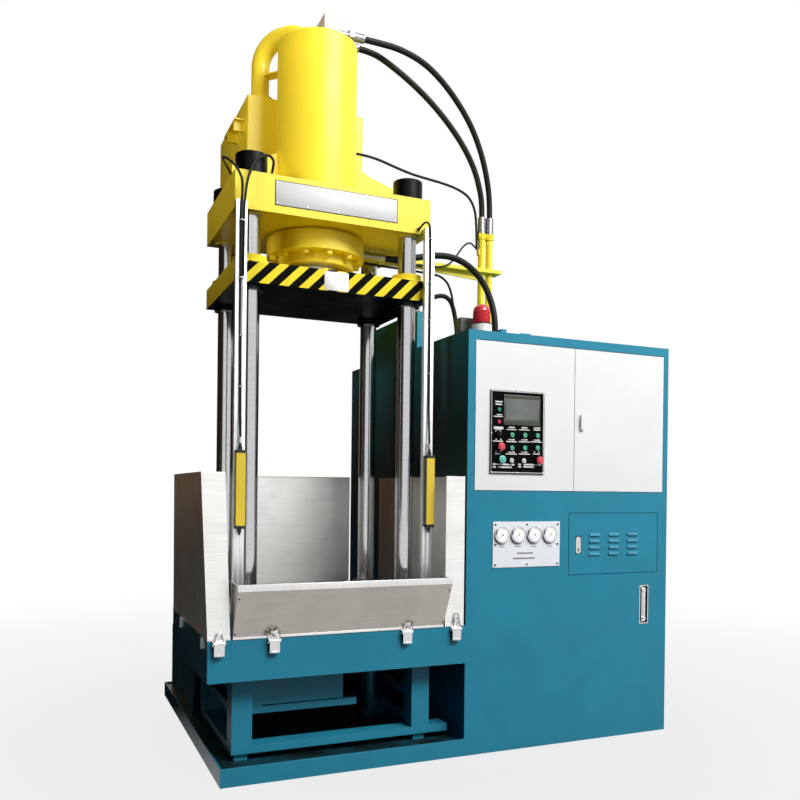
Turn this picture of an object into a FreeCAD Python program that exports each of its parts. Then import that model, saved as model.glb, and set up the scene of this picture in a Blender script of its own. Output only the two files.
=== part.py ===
"""Four-column hydraulic press with its power cabinet, as a parametric document.

Millimetres, +Z up.  The origin is the middle of the machine's footprint on the floor.
-Y is the operator's side; the press bay is on the left (-X), the cabinet on the right.
"""
import FreeCAD
import Part
import Sketcher
import math
import os
import re

from FreeCAD import Placement, Rotation, Vector

doc = FreeCAD.newDocument("hydraulic_press")

# ---------------------------------------------------------------------------
# driving dimensions: alias, value, meaning
# ---------------------------------------------------------------------------
CELLS = [
    ("front_y", -823, "plane of the cabinet's and the apron's front face"),
    ("divide_x", 20, "plane between the press bay and the cabinet"),
    ("press_x", -616, "press axis, across"),
    ("press_y", -337, "press axis, front to back"),
    ("seat_gap", 0.3, "clearance between pieces that move or meet loosely"),
    ("fit_gap", 0.05, "radial clearance of a sliding fit"),
    ("joint_gap", 3, "gap round a door or panel"),
    # base tray
    ("tray_wide", 1194, "drip tray under the press bay, across"),
    ("tray_deep", 1744, "drip tray, front to back"),
    ("tray_high", 82, "height of the tray's lip"),
    ("tray_lip", 8, "tray's lip above its deck"),
    ("tray_sheet", 8, "tray plate thickness"),
    ("hutch_left", 44, "rear housing from the tray's left side"),
    ("hutch_front", 960, "rear housing starts this far behind the front"),
    ("hutch_deep", 780, "rear housing, front to back"),
    ("hutch_gap", 10, "gap from the rear housing to the splash box and to the cabinet"),
    ("hutch_sheet", 4, "rear housing plate"),
    ("hutch_rim", 48, "flange round the rear housing's open front"),
    # bed
    ("bed_wide", 980, "bolster, crown and slide width"),
    ("bed_deep", 772, "bolster depth"),
    ("bed_thick", 150, "bolster thickness"),
    ("bed_base", 590, "underside of the bolster"),
    ("slot_wide", 22, "T-slot width"),
    ("slot_foot", 38, "T-slot foot width"),
    ("slot_deep", 38, "T-slot depth"),
    ("slot_foot_high", 16, "T-slot foot height"),
    ("slot_pitch", 200, "distance between the T-slots"),
    ("eject_bore", 80, "ejector hole in the bolster, diameter"),
    ("leg_size", 94, "square leg of the underframe"),
    ("rail_base", 105, "underside of the underframe's bottom ring"),
    ("rail_thick", 35, "thickness of the bottom ring"),
    ("rail_reach", 592, "bottom ring's reach to the right of the press axis"),
    ("foot_size", 60, "levelling foot"),
    ("drawer_wide", 455, "oil catch box in the underframe, across"),
    ("drawer_deep", 560, "oil catch box, front to back"),
    ("drawer_base", 305, "underside of the oil catch box"),
    ("drawer_high", 150, "oil catch box height"),
    ("runner_high", 32, "runner bar under the catch box"),
    ("drain_radius", 34, "drain standpipe"),
    # columns
    ("column_radius", 45, "tie column"),
    ("column_x", 398, "column centre from the press axis, across"),
    ("column_y", 262, "column centre from the press axis, front to back"),
    ("nut_radius", 74, "round column nut"),
    ("nut_high", 98, "height of the upper column nut"),
    ("foot_nut_high", 60, "height of the lower column nut"),
    ("column_proud", 8, "column end above its nut"),
    ("column_sink", 140, "length of the column held in the bolster"),
    # crown
    ("crown_deep", 680, "crown and slide depth"),
    ("crown_base", 2577, "underside of the crown"),
    ("crown_thick", 176, "crown thickness"),
    ("shoulder_radius", 62, "turned shoulder round each column under the crown"),
    ("shoulder_high", 8, "height of that shoulder"),
    ("rib_thick", 25, "gusset rib on the crown"),
    ("rib_high", 255, "rib height at the cylinder"),
    ("rib_tail", 150, "rib height at its outer end"),
    ("rib_reach", 435, "rib's outer end from the press axis"),
    # main cylinder
    ("barrel_radius", 203, "main cylinder, outside"),
    ("barrel_bore", 160, "main cylinder bore radius"),
    ("barrel_room", 85, "oil space above the piston with the slide at its top"),
    ("barrel_head", 110, "thickness of the cylinder's closed end"),
    ("barrel_round", 12, "rounding of the top edge"),
    ("flange_radius", 248, "cylinder flange below the crown"),
    ("flange_high", 103, "height of that flange"),
    ("flange_round", 14, "rounding of the flange's upper edge"),
    ("gland_radius", 196, "gland ring"),
    ("gland_high", 54, "height of the gland ring"),
    ("gland_spigot", 40, "gland spigot inside the bore"),
    ("ram_radius", 140, "ram"),
    ("piston_high", 130, "piston height"),
    ("ram_long", 900, "ram from its flange to the piston"),
    ("bolt_count", 12, "bolts in each ring"),
    ("bolt_radius", 18, "hexagon head, circumscribed radius"),
    ("bolt_head", 18, "height of a bolt head"),
    ("bolt_washer", 3, "washer under a bolt head"),
    ("rod_flange_radius", 188, "flange at the foot of the ram"),
    ("rod_flange_high", 30, "height of that flange"),
    # slide
    ("slide_hang", 332, "slide's underside below the crown, at the top of its stroke"),
    ("slide_thick", 100, "slide plate thickness"),
    ("boss_radius", 75, "guide boss on the slide"),
    ("boss_high", 33, "height of a guide boss"),
    ("bush_radius", 56, "guide bush, outside"),
    ("bush_flange", 63, "flange of the guide bush, radius"),
    ("bush_foot", 22, "height of the bush's flange below the slide"),
    ("bush_sink", 4, "spot face that the bush's flange sits in"),
    # prefill tank and pipe
    ("tank_wide", 636, "prefill tank on the crown, across"),
    ("tank_front", 179, "tank front behind the press axis"),
    ("tank_deep", 697, "prefill tank, front to back"),
    ("tank_high", 593, "prefill tank height"),
    ("tank_sheet", 5, "prefill tank plate"),
    ("lug_drop", 105, "side bracket below the tank's top"),
    ("lug_out", 55, "side bracket's reach from the tank"),
    ("pipe_radius", 47.5, "prefill pipe"),
    ("pipe_left", 234, "prefill pipe to the left of the press axis"),
    ("pipe_back", 259, "prefill pipe behind the press axis"),
    ("pipe_stub", 4, "straight pipe between the second elbow and the cylinder's head"),
    ("pipe_level", 40, "level pipe between the elbows"),
    ("elbow_radius", 140, "first elbow"),
    ("return_radius", 95, "second elbow, down into the cylinder head"),
    ("pipe_flange", 76, "pipe flange on the tank, radius"),
    ("pipe_collar", 55, "pipe collar on the cylinder's head, radius"),
    ("pipe_flange_high", 16, "pipe flange thickness"),
    ("brace_rise", 130, "pipe brace above the tank"),
    ("brace_wide", 60, "pipe brace width"),
    ("brace_thick", 8, "pipe brace thickness"),
    # hose manifold on the cylinder head
    ("block_x", 51, "manifold block to the right of the press axis"),
    ("block_wide", 80, "manifold block, across"),
    ("block_deep", 150, "manifold block, front to back"),
    ("block_high", 142, "manifold block height"),
    # splash box round the bed
    ("box_left", -1235, "left side of the splash box"),
    ("box_deep", 990, "splash box, front to back"),
    ("box_base", 457, "underside of the splash box"),
    ("box_high", 186, "splash box height"),
    ("box_sheet", 4, "splash box plate"),
    ("box_rim", 30, "inward rim at the top and the bottom"),
    ("well_gap", 10, "gap between the splash box's floor and the bed"),
    ("clip_out", 9, "side clip's reach from the splash box"),
    ("clip_high", 50, "side clip height"),
    ("clip_wide", 34, "side clip, front to back"),
    ("clip_first", 112, "front side clip behind the front"),
    ("clip_pitch", 594, "side clips apart"),
    # splash guard
    ("guard_high", 732, "stainless guard above the splash box"),
    ("guard_sheet", 3, "stainless sheet"),
    ("guard_return", 99, "front return of the guard"),
    ("guard_splay", 35, "outward lean of the left guard at its front top"),
    ("guard_rear_wide", 1004, "rear sheet of the guard"),
    ("guard_gap", 10, "guard to cabinet"),
    ("guard_right_deep", 1110, "right guard, front to back"),
    ("trough_inset", 109, "front trough from the splash box's left side"),
    ("trough_wide", 1024, "front trough, across"),
    ("trough_lean", 95, "how far the trough leans out at its top"),
    ("trough_fold", 214, "height of the trough's sloped panel"),
    ("trough_lip", 28, "height of the trough's front lip"),
    ("trough_lift", 5, "trough's lower edge above the splash box"),
    # toggle latches
    ("latch_wide", 56, "toggle latch width"),
    ("latch_drop", 55, "length of the latch lever"),
    ("latch_thick", 6, "thickness of the latch lever"),
    ("latch_pin", 4, "latch pin radius"),
    ("latch_ear", 5, "ear of the latch bracket"),
    ("latch_out", 14, "pin centre in front of the apron"),
    ("latch_down", 10, "pin centre below the top of the apron"),
    # light curtains
    ("post_x", 468, "light-curtain post from the press axis"),
    ("post_wide", 50, "post width"),
    ("post_deep", 28, "post depth"),
    ("post_sheet", 4, "post wall"),
    ("post_over", 23, "top of the posts above the crown's underside"),
    ("curtain_wide", 42, "light curtain width"),
    ("curtain_deep", 38, "light curtain depth"),
    ("curtain_base", 1125, "bottom of the light curtains"),
    ("curtain_high", 350, "light curtain length"),
    ("curtain_cap", 12, "end cap of a light curtain"),
    ("lens_wide", 22, "lens strip of a light curtain, width"),
    ("lens_deep", 2, "lens strip below the light curtain's face"),
    # cabinet
    ("cabinet_wide", 1250, "cabinet, across"),
    ("cabinet_deep", 1650, "cabinet, front to back"),
    ("cabinet_high", 2100, "cabinet height"),
    ("cabinet_sheet", 4, "cabinet plate"),
    ("lid_drop", 16, "oil tank's lid below the vented door"),
    ("split_drop", 25, "electrical room's floor below the white doors"),
    ("duct_wide", 75, "cable duct on the cabinet's roof, across"),
    ("duct_front", 607, "duct starts this far behind the front"),
    ("duct_deep", 800, "duct, front to back"),
    ("duct_high", 205, "duct height"),
    ("door_left_edge", 43, "first door from the cabinet's left side"),
    ("door_right_edge", 34, "second door from the cabinet's right side"),
    ("door_header", 49, "cabinet plate above the white doors"),
    ("door_base", 1309, "underside of the white doors"),
    ("door_thick", 22, "folded depth of a door"),
    ("door_sheet", 3, "door plate"),
    ("louvre_left_edge", 604, "vented door from the cabinet's left side"),
    ("louvre_right_edge", 66, "vented door from the cabinet's right side"),
    ("louvre_drop", 116, "vented door below the white doors"),
    ("louvre_high", 320, "vented door height"),
    ("slot_columns", 3, "columns of louvres"),
    ("slot_rows", 4, "rows of louvres"),
    ("louvre_slot_wide", 66, "louvre length"),
    ("louvre_slot_high", 9, "louvre opening"),
    ("louvre_pitch_x", 125, "louvre columns apart"),
    ("louvre_pitch_z", 34, "louvre rows apart"),
    ("louvre_first_x", 162, "first louvre column from the vented door's left edge"),
    ("louvre_first_z", 100, "lowest louvre above the vented door's lower edge"),
    ("louvre_proud", 7, "how far a louvre stands out"),
    ("hinge_in", 6, "hinge axis from the door's edge and from its face"),
    ("hinge_pin", 3.5, "hinge pin radius"),
    ("hinge_high", 40, "hinge block on a door, height"),
    ("hinge_lug", 14, "hinge lug in the cabinet, height"),
    ("handle_wide", 22, "door latch handle width"),
    ("handle_high", 78, "door latch handle length"),
    ("handle_left", 44, "door latch from the right door's left edge"),
    ("handle_rise", 361, "door latch above the door's lower edge"),
    ("handle_proud", 14, "door latch handle in front of the door"),
    ("lock_wide", 34, "vented door lock, width"),
    ("lock_high", 94, "vented door lock, height"),
    ("lock_left", 42, "vented door lock from the door's left edge"),
    ("lock_deep", 16, "vented door lock pocket depth"),
    ("lock_lever", 9, "lock lever thickness"),
    ("lock_pin", 2, "lock lever's pin radius"),
    ("lock_rise", 108, "vented door lock above the door's lower edge"),
    # gauges
    ("dial_plate_left", 148, "gauge plate from the cabinet's left side"),
    ("dial_plate_wide", 397, "gauge plate width"),
    ("dial_plate_rise", 49, "gauge plate above the vented door's lower edge"),
    ("dial_plate_high", 230, "gauge plate height"),
    ("dial_plate_thick", 3, "gauge plate thickness"),
    ("dial_count", 4, "pressure gauges"),
    ("dial_first", 199, "first gauge from the cabinet's left side"),
    ("dial_pitch", 94.5, "gauges apart"),
    ("dial_rise", 213, "gauges above the vented door's lower edge"),
    ("dial_radius", 42, "gauge bezel radius"),
    ("dial_can", 31, "gauge case radius"),
    ("dial_proud", 14, "gauge bezel in front of its plate"),
    ("dial_deep", 38, "gauge case behind its plate"),
    ("sight_right", 122, "oil level gauge from the cabinet's right side"),
    ("sight_wide", 60, "oil level gauge recess, width"),
    ("sight_drop", 71, "oil level gauge below the vented door"),
    ("sight_high", 209, "oil level gauge height"),
    ("sight_tube", 13, "oil level gauge glass housing radius"),
    # control panel
    ("panel_left", 126, "control panel from the cabinet's left side"),
    ("panel_wide", 315, "control panel width"),
    ("panel_rise", 85, "control panel above the door's lower edge"),
    ("panel_high", 416, "control panel height"),
    ("panel_proud", 5, "control panel in front of the door"),
    ("screen_inset", 71, "operator screen from the panel's left side"),
    ("screen_wide", 214, "operator screen width"),
    ("screen_rise", 243, "operator screen above the panel's lower edge"),
    ("screen_high", 152, "operator screen height"),
    ("screen_deep", 45, "operator screen behind the panel"),
    ("key_bezel", 14.5, "button bezel radius"),
    ("key_bezel_high", 8, "button bezel height"),
    ("key_head", 12, "button head radius"),
    ("key_head_low", 4.5, "button head's back above the panel"),
    ("key_head_high", 6.5, "button head height"),
    ("key_stem", 9.7, "button stem radius"),
    ("key_stem_long", 26, "button stem behind the head"),
    ("key_gap", 0.3, "clearance round a button"),
    ("mushroom_radius", 20, "mushroom head radius"),
    ("mushroom_low", 15, "mushroom's back above the panel"),
    ("mushroom_high", 10, "mushroom head height"),
    ("lever_wide", 6, "selector lever width"),
    ("lever_high", 11, "selector lever height"),
    ("lamp_radius", 11, "pilot lamp radius"),
    ("lamp_high", 7, "pilot lamp height"),
    # on the cabinet's roof
    ("beacon_left", 105, "warning lamp from the cabinet's left side"),
    ("beacon_back", 62, "warning lamp behind the front"),
    ("beacon_radius", 50, "warning lamp base radius"),
    ("beacon_foot", 44, "warning lamp base height"),
    ("dome_radius", 47, "warning lamp dome radius"),
    ("dome_high", 98, "warning lamp dome height"),
    ("box_small_left", 24, "terminal box from the cabinet's left side"),
    ("box_small_wide", 76, "terminal box width"),
    ("box_small_back", 130, "terminal box behind the front"),
    ("box_small_deep", 70, "terminal box depth"),
    ("box_small_high", 84, "terminal box height"),
    ("box_small_lid", 22, "terminal box lid, height"),
    ("box_small_lap", 2, "terminal box lid's overlap"),
    # pipe stand
    ("stand_first", 398, "first riser pipe from the cabinet's left side"),
    ("stand_pitch", 51, "riser pipes apart"),
    ("stand_back", 600, "riser pipes behind the front"),
    ("stand_radius", 20, "riser pipe radius"),
    ("stand_over", 206, "top of the riser pipes above the crown's underside"),
    ("stand_foot", 12, "foot plate of the riser pipes"),
    ("arm_thick", 20, "arm plate from the crown to the riser pipes"),
    ("arm_root", 110, "arm width at the crown"),
    ("arm_tip", 84, "arm width at the riser pipes"),
    ("arm_web", 42, "arm web depth at the riser pipes"),
    ("arm_web_thick", 10, "arm web thickness"),
    # power unit and switching devices
    ("motor_left", 520, "motor from the cabinet's left side"),
    ("motor_back", 420, "motor's axis behind the front"),
    ("motor_rise", 155, "motor's axis above the oil tank"),
    ("motor_radius", 115, "motor case radius"),
    ("motor_long", 360, "motor length"),
    ("bell_radius", 85, "bell housing radius"),
    ("bell_long", 120, "bell housing length"),
    ("pump_radius", 62, "pump radius"),
    ("pump_long", 110, "pump length"),
    ("pump_base_wide", 300, "base plate of the motor and pump, front to back"),
    ("pump_base_thick", 20, "base plate thickness"),
    ("gear_back", 380, "mounting plate behind the front"),
    ("gear_rows", 3, "rows of switching devices"),
    ("gear_columns", 5, "switching devices in a row"),
    ("gear_pitch", 200, "rows, and devices in a row, apart"),
    ("gear_unit_wide", 130, "switching device width"),
    ("gear_unit_high", 120, "tall switching device"),
    ("gear_unit_deep", 82, "switching device depth"),
    # hoses
    ("hose_radius", 16, "pressure hose radius"),
    ("port_hose_radius", 17, "return hose radius"),
    ("pilot_radius", 7, "pilot line radius"),
    ("ferrule_radius", 22, "hose ferrule radius"),
    ("ferrule_long", 95, "hose ferrule length at the riser pipes"),
    ("end_ferrule_long", 60, "hose ferrule length at the manifold"),
    ("hose_reach", 145, "from the manifold block to the end of its two couplings"),
    ("outer_hose_out", 43, "outer pressure hose in front of the press axis"),
    ("outer_hose_rise", 76, "outer pressure hose above the cylinder's head"),
    ("inner_hose_back", 45, "inner pressure hose behind the press axis"),
    ("inner_hose_rise", 70, "inner pressure hose above the cylinder's head"),
    ("return_reach", 132, "return hose's fitting, out from the cylinder flange"),
    ("return_drop", 42, "return hose's fitting below the crown"),
    ("pilot_reach", 24, "pilot line's fitting, out from the barrel's side"),
    ("pilot_back", 36, "pilot line behind the press axis"),
    ("pilot_rise", 503, "pilot line above the crown's underside"),
    ("coupling_nut", 27, "coupling nut, circumscribed radius"),
    ("coupling_nut_high", 26, "coupling nut length"),
    ("adaptor_radius", 14, "adaptor between the manifold and a hose"),
    ("port_radius", 24, "return port adaptor radius"),
    ("port_long", 40, "return port adaptor length"),
    ("pilot_fitting", 10, "pilot line fitting radius"),
]
# sizes worked out from those: name, expression, meaning
DERIVED = [
    ("tray_deck", "tray_high - tray_lip", "top of the tray's deck"),
    ("slide_base", "crown_base - slide_hang", "underside of the slide at the top of its stroke"),
    ("barrel_top", "slide_base + slide_thick + ram_long + piston_high + barrel_room + barrel_head",
     "top of the main cylinder"),
    ("tank_top", "crown_base + crown_thick + tank_high", "top of the prefill tank"),
    ("pipe_rise", "barrel_top + pipe_stub + return_radius - elbow_radius - tank_top",
     "straight pipe above the tank"),
    ("trough_left", "box_left + trough_inset", "left end of the front trough"),
    ("post_top", "crown_base + post_over", "top of the posts"),
    ("door_wide", "(cabinet_wide - door_left_edge - door_right_edge - joint_gap) / 2",
     "one white door"),
    ("door_high", "cabinet_high - door_base - door_header", "white door height"),
    ("handle_z", "door_base + handle_rise", "height of the door latch"),
    ("louvre_wide", "cabinet_wide - louvre_left_edge - louvre_right_edge", "vented door width"),
    ("louvre_base", "door_base - louvre_drop - louvre_high", "underside of the vented door"),
    ("tank_lid", "louvre_base - lid_drop", "top of the oil tank in the cabinet's foot"),
    ("room_split", "door_base - split_drop", "floor of the electrical room"),
    ("dial_plate_base", "louvre_base + dial_plate_rise", "underside of the gauge plate"),
    ("dial_z", "louvre_base + dial_rise", "height of the gauges"),
    ("sight_left", "cabinet_wide - sight_right - sight_wide",
     "oil level gauge from the cabinet's left side"),
    ("sight_base", "louvre_base - sight_drop - sight_high", "underside of the oil level gauge"),
    ("panel_base", "door_base + panel_rise", "underside of the control panel"),
    ("screen_left", "panel_left + screen_inset", "operator screen from the cabinet's left side"),
    ("screen_base", "panel_base + screen_rise", "underside of the operator screen"),
    ("stand_top", "crown_base + stand_over", "top of the riser pipes"),
]
VALUES = {alias: value for alias, value, meaning in CELLS}
FORMULAS = {}
WORD = re.compile(r"[a-z][a-z_]*")


def spelled(text):
    """An expression with each worked-out size written as the driving ones."""
    return WORD.sub(lambda m: FORMULAS.get(m.group(0), m.group(0)), str(text))


for name, expression, meaning in DERIVED:
    FORMULAS[name] = "(%s)" % spelled(expression)

sheet = doc.addObject("Spreadsheet::Sheet", "sizes")
for row, (alias, value, meaning) in enumerate(CELLS, start=1):
    sheet.set("A%d" % row, meaning)
    sheet.set("B%d" % row, str(value))
    sheet.setAlias("B%d" % row, alias)
doc.recompute()

PARTS = []


def size(alias):
    """A size by its name: a driving dimension is read back from the sheet."""
    return float(sheet.get(alias)) if alias in VALUES else worked(alias)


def bound(text):
    """An expression in which each alias is looked up in the sheet."""
    return WORD.sub(lambda m: "sizes." + m.group(0) if m.group(0) in VALUES else m.group(0),
                    spelled(text))


def worked(text):
    """The present value of such an expression, reckoned by the sheet itself."""
    plain = WORD.sub(lambda m: repr(size(m.group(0))) if m.group(0) in VALUES else m.group(0),
                     spelled(text))
    sheet.set("D1", "=" + plain)
    sheet.recompute()
    return float(sheet.get("D1"))


def place(item, x, y, z, turn=None):
    """Bind an object's position; turn is an optional fixed Rotation."""
    item.Placement = Placement(Vector(0, 0, 0), turn or Rotation())
    for axis, text in zip("xyz", (x, y, z)):
        item.setExpression("Placement.Base." + axis, bound(text))
    return item


def part(node, item):
    """Name a finished sub-part; the name is also its file's."""
    item.Label = node
    PARTS.append((node, item))
    return item


# ---------------------------------------------------------------------------
# primitives, booleans and sketched bodies
# ---------------------------------------------------------------------------
def box(name, x0, x1, y0, y1, z0, z1):
    item = doc.addObject("Part::Box", name)
    item.setExpression("Length", bound("(%s) - (%s)" % (x1, x0)))
    item.setExpression("Width", bound("(%s) - (%s)" % (y1, y0)))
    item.setExpression("Height", bound("(%s) - (%s)" % (z1, z0)))
    return place(item, x0, y0, z0)


def rod(name, radius, long, x, y, z, turn=None):
    item = doc.addObject("Part::Cylinder", name)
    item.setExpression("Radius", bound(radius))
    item.setExpression("Height", bound(long))
    return place(item, x, y, z, turn)


def cut(name, base, *tools):
    for number, tool in enumerate(tools):
        item = doc.addObject("Part::Cut", "%s_%d" % (name, number))
        item.Base = base
        item.Tool = tool
        base = item
    return base


def fuse(name, *items):
    item = doc.addObject("Part::MultiFuse", name)
    item.Shapes = list(items)
    return item


def group(name, items):
    item = doc.addObject("Part::Compound", name)
    item.Links = list(items)
    return item


def plane(body, role):
    return next(f for f in body.Origin.OriginFeatures if f.Role == role)


def sketch_on(body, role, name, lift=None):
    drawing = body.newObject("Sketcher::SketchObject", name)
    drawing.AttachmentSupport = [(plane(body, role), "")]
    drawing.MapMode = "FlatFace"
    if lift is not None:
        drawing.setExpression("AttachmentOffset.Base.z", bound(lift))
    return drawing


def pin_point(drawing, line, end, across, up):
    """Fix one end of a line at two bound distances from the origin."""
    for kind, text, axis in (("DistanceX", across, -2), ("DistanceY", up, -1)):
        if str(text) == "0":
            drawing.addConstraint(Sketcher.Constraint("PointOnObject", line, end, axis))
            continue
        value = worked(text)
        index = drawing.addConstraint(Sketcher.Constraint(kind, -1, 1, line, end, value))
        drawing.setExpression("Constraints[%d]" % index, bound(text))


def outline(drawing, points):
    """A closed outline of straight edges through bound points."""
    spots = [Vector(worked(a), worked(b), 0) for a, b in points]
    first = drawing.GeometryCount
    for here, there in zip(spots, spots[1:] + spots[:1]):
        drawing.addGeometry(Part.LineSegment(here, there), False)
    count = len(spots)
    for number in range(count):
        after = (number + 1) % count
        drawing.addConstraint(Sketcher.Constraint("Coincident", first + number, 2,
                                                  first + after, 1))
    for number, (across, up) in enumerate(points):
        pin_point(drawing, first + number, 1, across, up)


def circle(drawing, across, up, radius):
    centre = Vector(worked(across), worked(up), 0)
    number = drawing.addGeometry(Part.Circle(centre, Vector(0, 0, 1), worked(radius)), False)
    pin_point(drawing, number, 3, across, up)
    index = drawing.addConstraint(Sketcher.Constraint("Radius", number, worked(radius)))
    drawing.setExpression("Constraints[%d]" % index, bound(radius))


def new_body(name):
    return doc.addObject("PartDesign::Body", name)


def turned(name, profile, x, y, z, turn=None):
    """A turned piece: (radius, height) outline spun about its own Z axis."""
    body = new_body(name)
    drawing = sketch_on(body, "XZ_Plane", name + "_profile")
    outline(drawing, profile)
    spin = body.newObject("PartDesign::Revolution", name + "_spin")
    spin.Profile = drawing
    spin.ReferenceAxis = (drawing, ["V_Axis"])
    spin.Angle = 360
    return place(body, x, y, z, turn)


def padded(name, role, points, depth, x, y, z, flip=False):
    """A prism of an outline drawn on one of the body's planes."""
    body = new_body(name)
    drawing = sketch_on(body, role, name + "_outline")
    outline(drawing, points)
    pad = body.newObject("PartDesign::Pad", name + "_pad")
    pad.Profile = drawing
    pad.setExpression("Length", bound(depth))
    pad.Reversed = flip
    return place(body, x, y, z)


def pocket(body, name, role, lift, depth, draw, through=False, flip=False):
    """Cut a sketched shape; draw(sketch) adds its outlines."""
    drawing = sketch_on(body, role, name + "_cut_outline", lift)
    draw(drawing)
    cutter = body.newObject("PartDesign::Pocket", name + "_cut")
    cutter.Profile = drawing
    cutter.Type = 1 if through else 0
    cutter.Reversed = flip
    if not through:
        cutter.setExpression("Length", bound(depth))
    return cutter


def boss(body, name, role, lift, depth, draw, flip=False):
    """Add a sketched shape to a body."""
    drawing = sketch_on(body, role, name + "_outline", lift)
    draw(drawing)
    pad = body.newObject("PartDesign::Pad", name + "_pad")
    pad.Profile = drawing
    pad.Reversed = flip
    pad.setExpression("Length", bound(depth))
    return pad


OUTWARD = Rotation(Vector(1, 0, 0), 90)
ALONG_X = Rotation(Vector(0, 1, 0), 90)
CORNERS = [(-1, -1), (1, -1), (-1, 1), (1, 1)]


def four_circles(drawing, radius):
    for sx, sy in CORNERS:
        circle(drawing, "%d * column_x" % sx, "%d * column_y" % sy, radius)


# ---------------------------------------------------------------------------
# base, bed and frame
# ---------------------------------------------------------------------------
def base_tray():
    """A raised tray, hollow below its deck, that carries the rear housing."""
    left = "divide_x - tray_wide"
    back = "front_y + tray_deep"
    wall = "tray_sheet"
    inside = (left + " + " + wall, "divide_x - " + wall, "front_y + " + wall, back + " - " + wall)
    tray = cut("tray", box("tray_block", left, "divide_x", "front_y", back, "0", "tray_high"),
               box("tray_under", *inside, "-1", "tray_deck - " + wall),
               box("tray_above", *inside, "tray_deck", "tray_high + 1"))
    part("base_tray", fuse("tray_weldment", tray, rear_housing()))


def rear_housing():
    """Plate housing behind the bed, open to the front inside a flange."""
    x0, x1 = "divide_x - tray_wide + hutch_left", "divide_x - hutch_gap"
    y0, y1 = "front_y + hutch_front", "front_y + hutch_front + hutch_deep"
    z0, z1 = "tray_deck", "box_base - hutch_gap"
    wall, rim = "hutch_sheet", "hutch_rim"
    return cut("hutch", box("hutch_block", x0, x1, y0, y1, z0, z1),
               box("hutch_room", x0 + " + " + wall, x1 + " - " + wall, y0 + " + " + wall,
                   y1 + " - " + wall, z0 + " - 1", z1 + " - " + wall),
               box("hutch_mouth", x0 + " + " + rim, x1 + " - " + rim, y0 + " - 1",
                   y0 + " + " + wall + " + 1", z0 + " + " + rim, z1 + " - " + rim))


def bolster():
    body = padded("bolster_body", "XY_Plane",
                  [("-bed_wide / 2", "-bed_deep / 2"), ("bed_wide / 2", "-bed_deep / 2"),
                   ("bed_wide / 2", "bed_deep / 2"), ("-bed_wide / 2", "bed_deep / 2")],
                  "bed_thick", "press_x", "press_y", "bed_base")
    pocket(body, "bolster_holes", "XY_Plane", "bed_thick", "column_sink",
           lambda d: four_circles(d, "column_radius"))
    pocket(body, "ejector", "XY_Plane", "bed_thick", "0",
           lambda d: circle(d, "0", "0", "eject_bore / 2"), through=True)
    pocket(body, "t_slot", "XZ_Plane", "bed_deep / 2 + 1", "bed_deep + 2", t_slots)
    part("bolster", body)


def t_slots(drawing):
    for side in (-1, 1):
        mid = "%d * slot_pitch" % side
        neck, foot = "slot_wide / 2", "slot_foot / 2"
        floor = "bed_thick - slot_deep"
        step = floor + " + slot_foot_high"
        top = "bed_thick + 1"
        outline(drawing, [(mid + " - " + foot, floor), (mid + " + " + foot, floor),
                          (mid + " + " + foot, step), (mid + " + " + neck, step),
                          (mid + " + " + neck, top), (mid + " - " + neck, top),
                          (mid + " - " + neck, step), (mid + " - " + foot, step)])


def underframe():
    left = "press_x - bed_wide / 2"
    right = "press_x + bed_wide / 2"
    front = "press_y - bed_deep / 2"
    back = "press_y + bed_deep / 2"
    ring_top = "rail_base + rail_thick"
    ring = cut("ring", box("ring_plate", left, right, front, back, "rail_base", ring_top),
               box("ring_hole", left + " + leg_size", right + " - leg_size",
                   front + " + leg_size", back + " - leg_size", "rail_base - 1", ring_top + " + 1"))
    pieces = [ring]
    for number, y0 in enumerate((front, back + " - leg_size")):
        pieces.append(box("ring_tail_%d" % number, right, "press_x + rail_reach", y0,
                          y0 + " + leg_size", "rail_base", ring_top))
    for number, (sx, sy) in enumerate(CORNERS):
        x0 = left if sx < 0 else right + " - leg_size"
        y0 = front if sy < 0 else back + " - leg_size"
        pieces.append(box("leg_%d" % number, x0, x0 + " + leg_size", y0, y0 + " + leg_size",
                          ring_top, "bed_base"))
        inset = "(leg_size - foot_size) / 2"
        pieces.append(box("foot_%d" % number, x0 + " + " + inset, x0 + " + " + inset + " + foot_size",
                          y0 + " + " + inset, y0 + " + " + inset + " + foot_size",
                          "tray_deck", "rail_base"))
    catch_x = left + " + leg_size"
    catch_y = front + " + 58"
    pieces.append(box("catch_box", catch_x, catch_x + " + drawer_wide", catch_y,
                      catch_y + " + drawer_deep", "drawer_base", "drawer_base + drawer_high"))
    runner_top = "drawer_base - 6"
    for number, shift in enumerate(("0", "drawer_deep - 20")):
        y0 = catch_y + " + " + shift
        pieces.append(box("runner_%d" % number, catch_x, catch_x + " + drawer_wide + 70",
                          y0, y0 + " + 20", runner_top + " - runner_high", runner_top))
        pieces.append(box("runner_pad_%d" % number, catch_x, catch_x + " + 60", y0, y0 + " + 20",
                          runner_top, "drawer_base"))
        pieces.append(box("runner_lug_%d" % number, catch_x + " - 30", catch_x, y0,
                          y0 + " + 20", runner_top + " - runner_high", runner_top))
    for number, x0 in enumerate((left + " + 20", right + " - leg_size + 20")):
        pieces.append(box("side_bar_%d" % number, x0, x0 + " + leg_size - 40",
                          front + " + leg_size", back + " - leg_size",
                          runner_top + " - runner_high", runner_top))
    pieces.append(rod("standpipe", "drain_radius", "bed_base - rail_base - rail_thick + 20",
                      right + " - leg_size - 63", "press_y", ring_top + " - 20"))
    pieces.append(box("pipe_shoe", right + " - leg_size - 110", right + " - leg_size + 10",
                      "press_y - 40", "press_y + 40", "rail_base", ring_top))
    part("underframe", fuse("frame_weldment", *pieces))


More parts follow.
